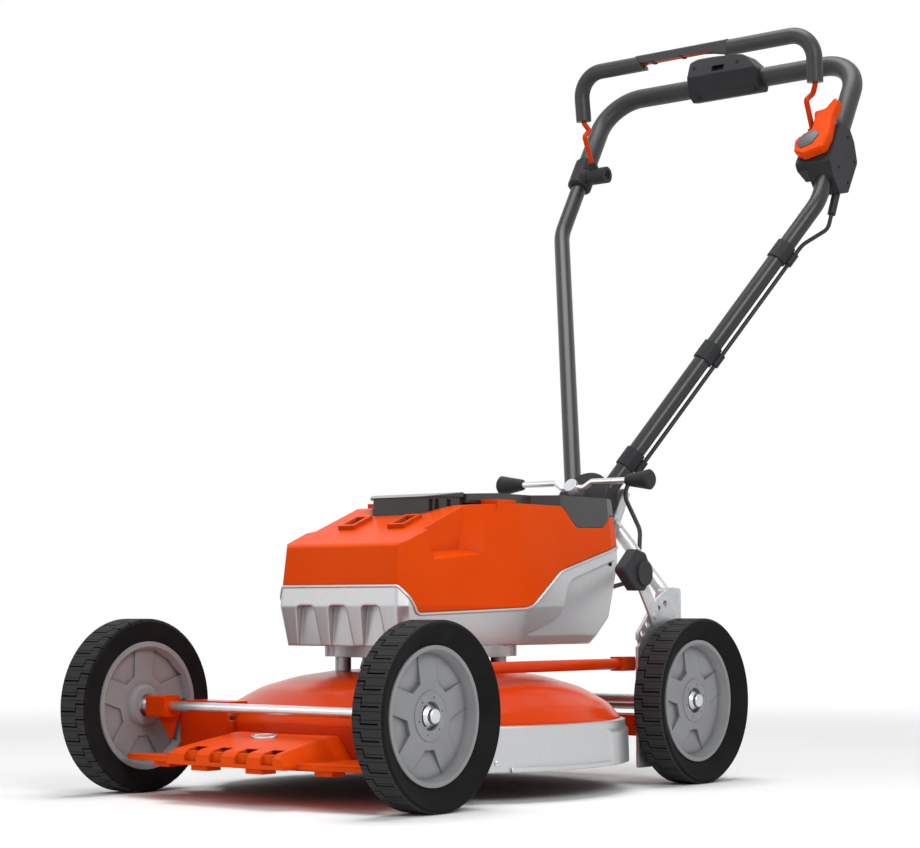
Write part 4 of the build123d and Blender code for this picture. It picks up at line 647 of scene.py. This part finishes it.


# Cable: a round rubber lead, clipped down the left leg and bent free between the leg and the power head.
# Its lower stretch bends as the handle swivels; a merged, smooth-shaded copy of it stands in for the CAD
# node, which is hidden.
# Extruded rubber is smooth and dark, with one thin dull highlight along the lead.
cable_rubber, tree, shader, place = finish_named("smooth_cable_rubber", IOR=1.52, Specular_IOR_Level=0.3)
shaded(tree, shader, place, light="#2B2B2D", dark="#232325", patch_mm=30)
grained(tree, shader, place, grain_mm=1.2, depth_mm=0.02, edge_mm=0.05, low=0.4, high=0.5)
dress(cable_rubber, "cable_upper", "cable_boot", "cable_lower")
dress(dark_nylon, "cable_clips")
LEAD_EDGE = math.radians(40)
lead = merged_copy("cable_lower", "lower_lead")
bpy.ops.object.shade_smooth_by_angle(angle=LEAD_EDGE)
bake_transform(lead)
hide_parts("cable_lower")


# Studio: a white paper floor that runs out to a white background.
# Broad soft lamps stand to the left and overhead, with a weak one to the right.
# The camera stands low before the machine's left front corner.
scene = bpy.context.scene
scene.view_settings.view_transform = "Standard"
CAMERA_PLACE = (1.739743, -2.318449, 0.219397)
CAMERA_TURN = math.radians(38.381)
CAMERA_PITCH = 0.086
FOCAL_PIXELS = 2168.568
IMAGE_WIDTH = 920
camera_data = bpy.data.cameras.new("camera")
camera_data.sensor_width = 36.0
camera_data.lens = FOCAL_PIXELS * camera_data.sensor_width / IMAGE_WIDTH
camera_data.clip_end = 50.0
camera = bpy.data.objects.new("camera", camera_data)
scene.collection.objects.link(camera)
level = math.cos(CAMERA_PITCH)
across = Vector((math.cos(CAMERA_TURN), math.sin(CAMERA_TURN), 0))
behind = Vector((math.sin(CAMERA_TURN) * level, -math.cos(CAMERA_TURN) * level, -math.sin(CAMERA_PITCH)))
aim = Matrix((across, behind.cross(across), behind)).transposed().to_4x4()
camera.matrix_world = Matrix.Translation(CAMERA_PLACE) @ aim
scene.camera = camera

SKY_LEVEL = 0.34


def white_strength(tree):
    """Full white where it is seen straight, mirrored or through glass, and a softer level as light."""
    rays = wire(tree, "LightPath")
    seen = rays.outputs["Is Camera Ray"]
    for kind in ("Is Glossy Ray", "Is Transmission Ray"):
        seen = wire(tree, "Math", {0: seen, 1: rays.outputs[kind]}, operation="MAXIMUM").outputs[0]
    strength = wire(tree, "MapRange", {"Value": seen, "To Min": SKY_LEVEL, "To Max": 1.0})
    return strength.outputs["Result"]


world = bpy.data.worlds.new("studio")
scene.world = world
world.use_nodes = True
sky = world.node_tree.nodes["Background"]
sky.inputs["Color"].default_value = linear("#FFFFFF")
world.node_tree.links.new(white_strength(world.node_tree), sky.inputs["Strength"])

# Beyond the machine the matt lit paper gives way to the same white as the background.
FLOOR_SIZE = 40
PAPER_REACH = 0.9
WHITE_REACH = 2.4
fresh()
bpy.ops.mesh.primitive_plane_add(size=FLOOR_SIZE)
floor = bpy.context.object
floor.name = "floor"
floor_white, tree, shader, place = finish_named("white_paper_floor", IOR=1.45, Roughness=0.9,
                                                Specular_IOR_Level=0.0)
shaded(tree, shader, place, light="#F8F8F8", dark="#F6F6F6", patch_mm=900)
white = wire(tree, "Emission", {"Strength": white_strength(tree)})
away = wire(tree, "VectorMath", {0: place}, operation="LENGTH")
share = wire(tree, "MapRange", {"Value": away.outputs["Value"], "From Min": PAPER_REACH,
                                "From Max": WHITE_REACH}, interpolation_type="SMOOTHSTEP")
paper = wire(tree, "MixShader", {0: share.outputs["Result"], 1: shader.outputs[0], 2: white.outputs[0]})
tree.links.new(paper.outputs[0], tree.nodes["Material Output"].inputs["Surface"])
floor.data.materials.append(floor_white)


def soft_lamp(name, place, target, size, watts):
    """Square soft lamp aimed at a point on the machine."""
    lamp_data = bpy.data.lights.new(name, "AREA")
    lamp_data.size = size
    lamp_data.energy = watts
    lamp = bpy.data.objects.new(name, lamp_data)
    scene.collection.objects.link(lamp)
    lamp.location = place
    lamp.rotation_euler = (Vector(target) - Vector(place)).to_track_quat("-Z", "Y").to_euler()


soft_lamp("key", place=(2.6, -1.7, 2.0), target=(0, 0, 0.35), size=1.4, watts=44)
soft_lamp("top", place=(0.0, 0.1, 3.0), target=(0, 0, 0.3), size=1.8, watts=56)
soft_lamp("fill", place=(-1.6, -2.4, 1.6), target=(0, -0.1, 0.3), size=1.4, watts=10)
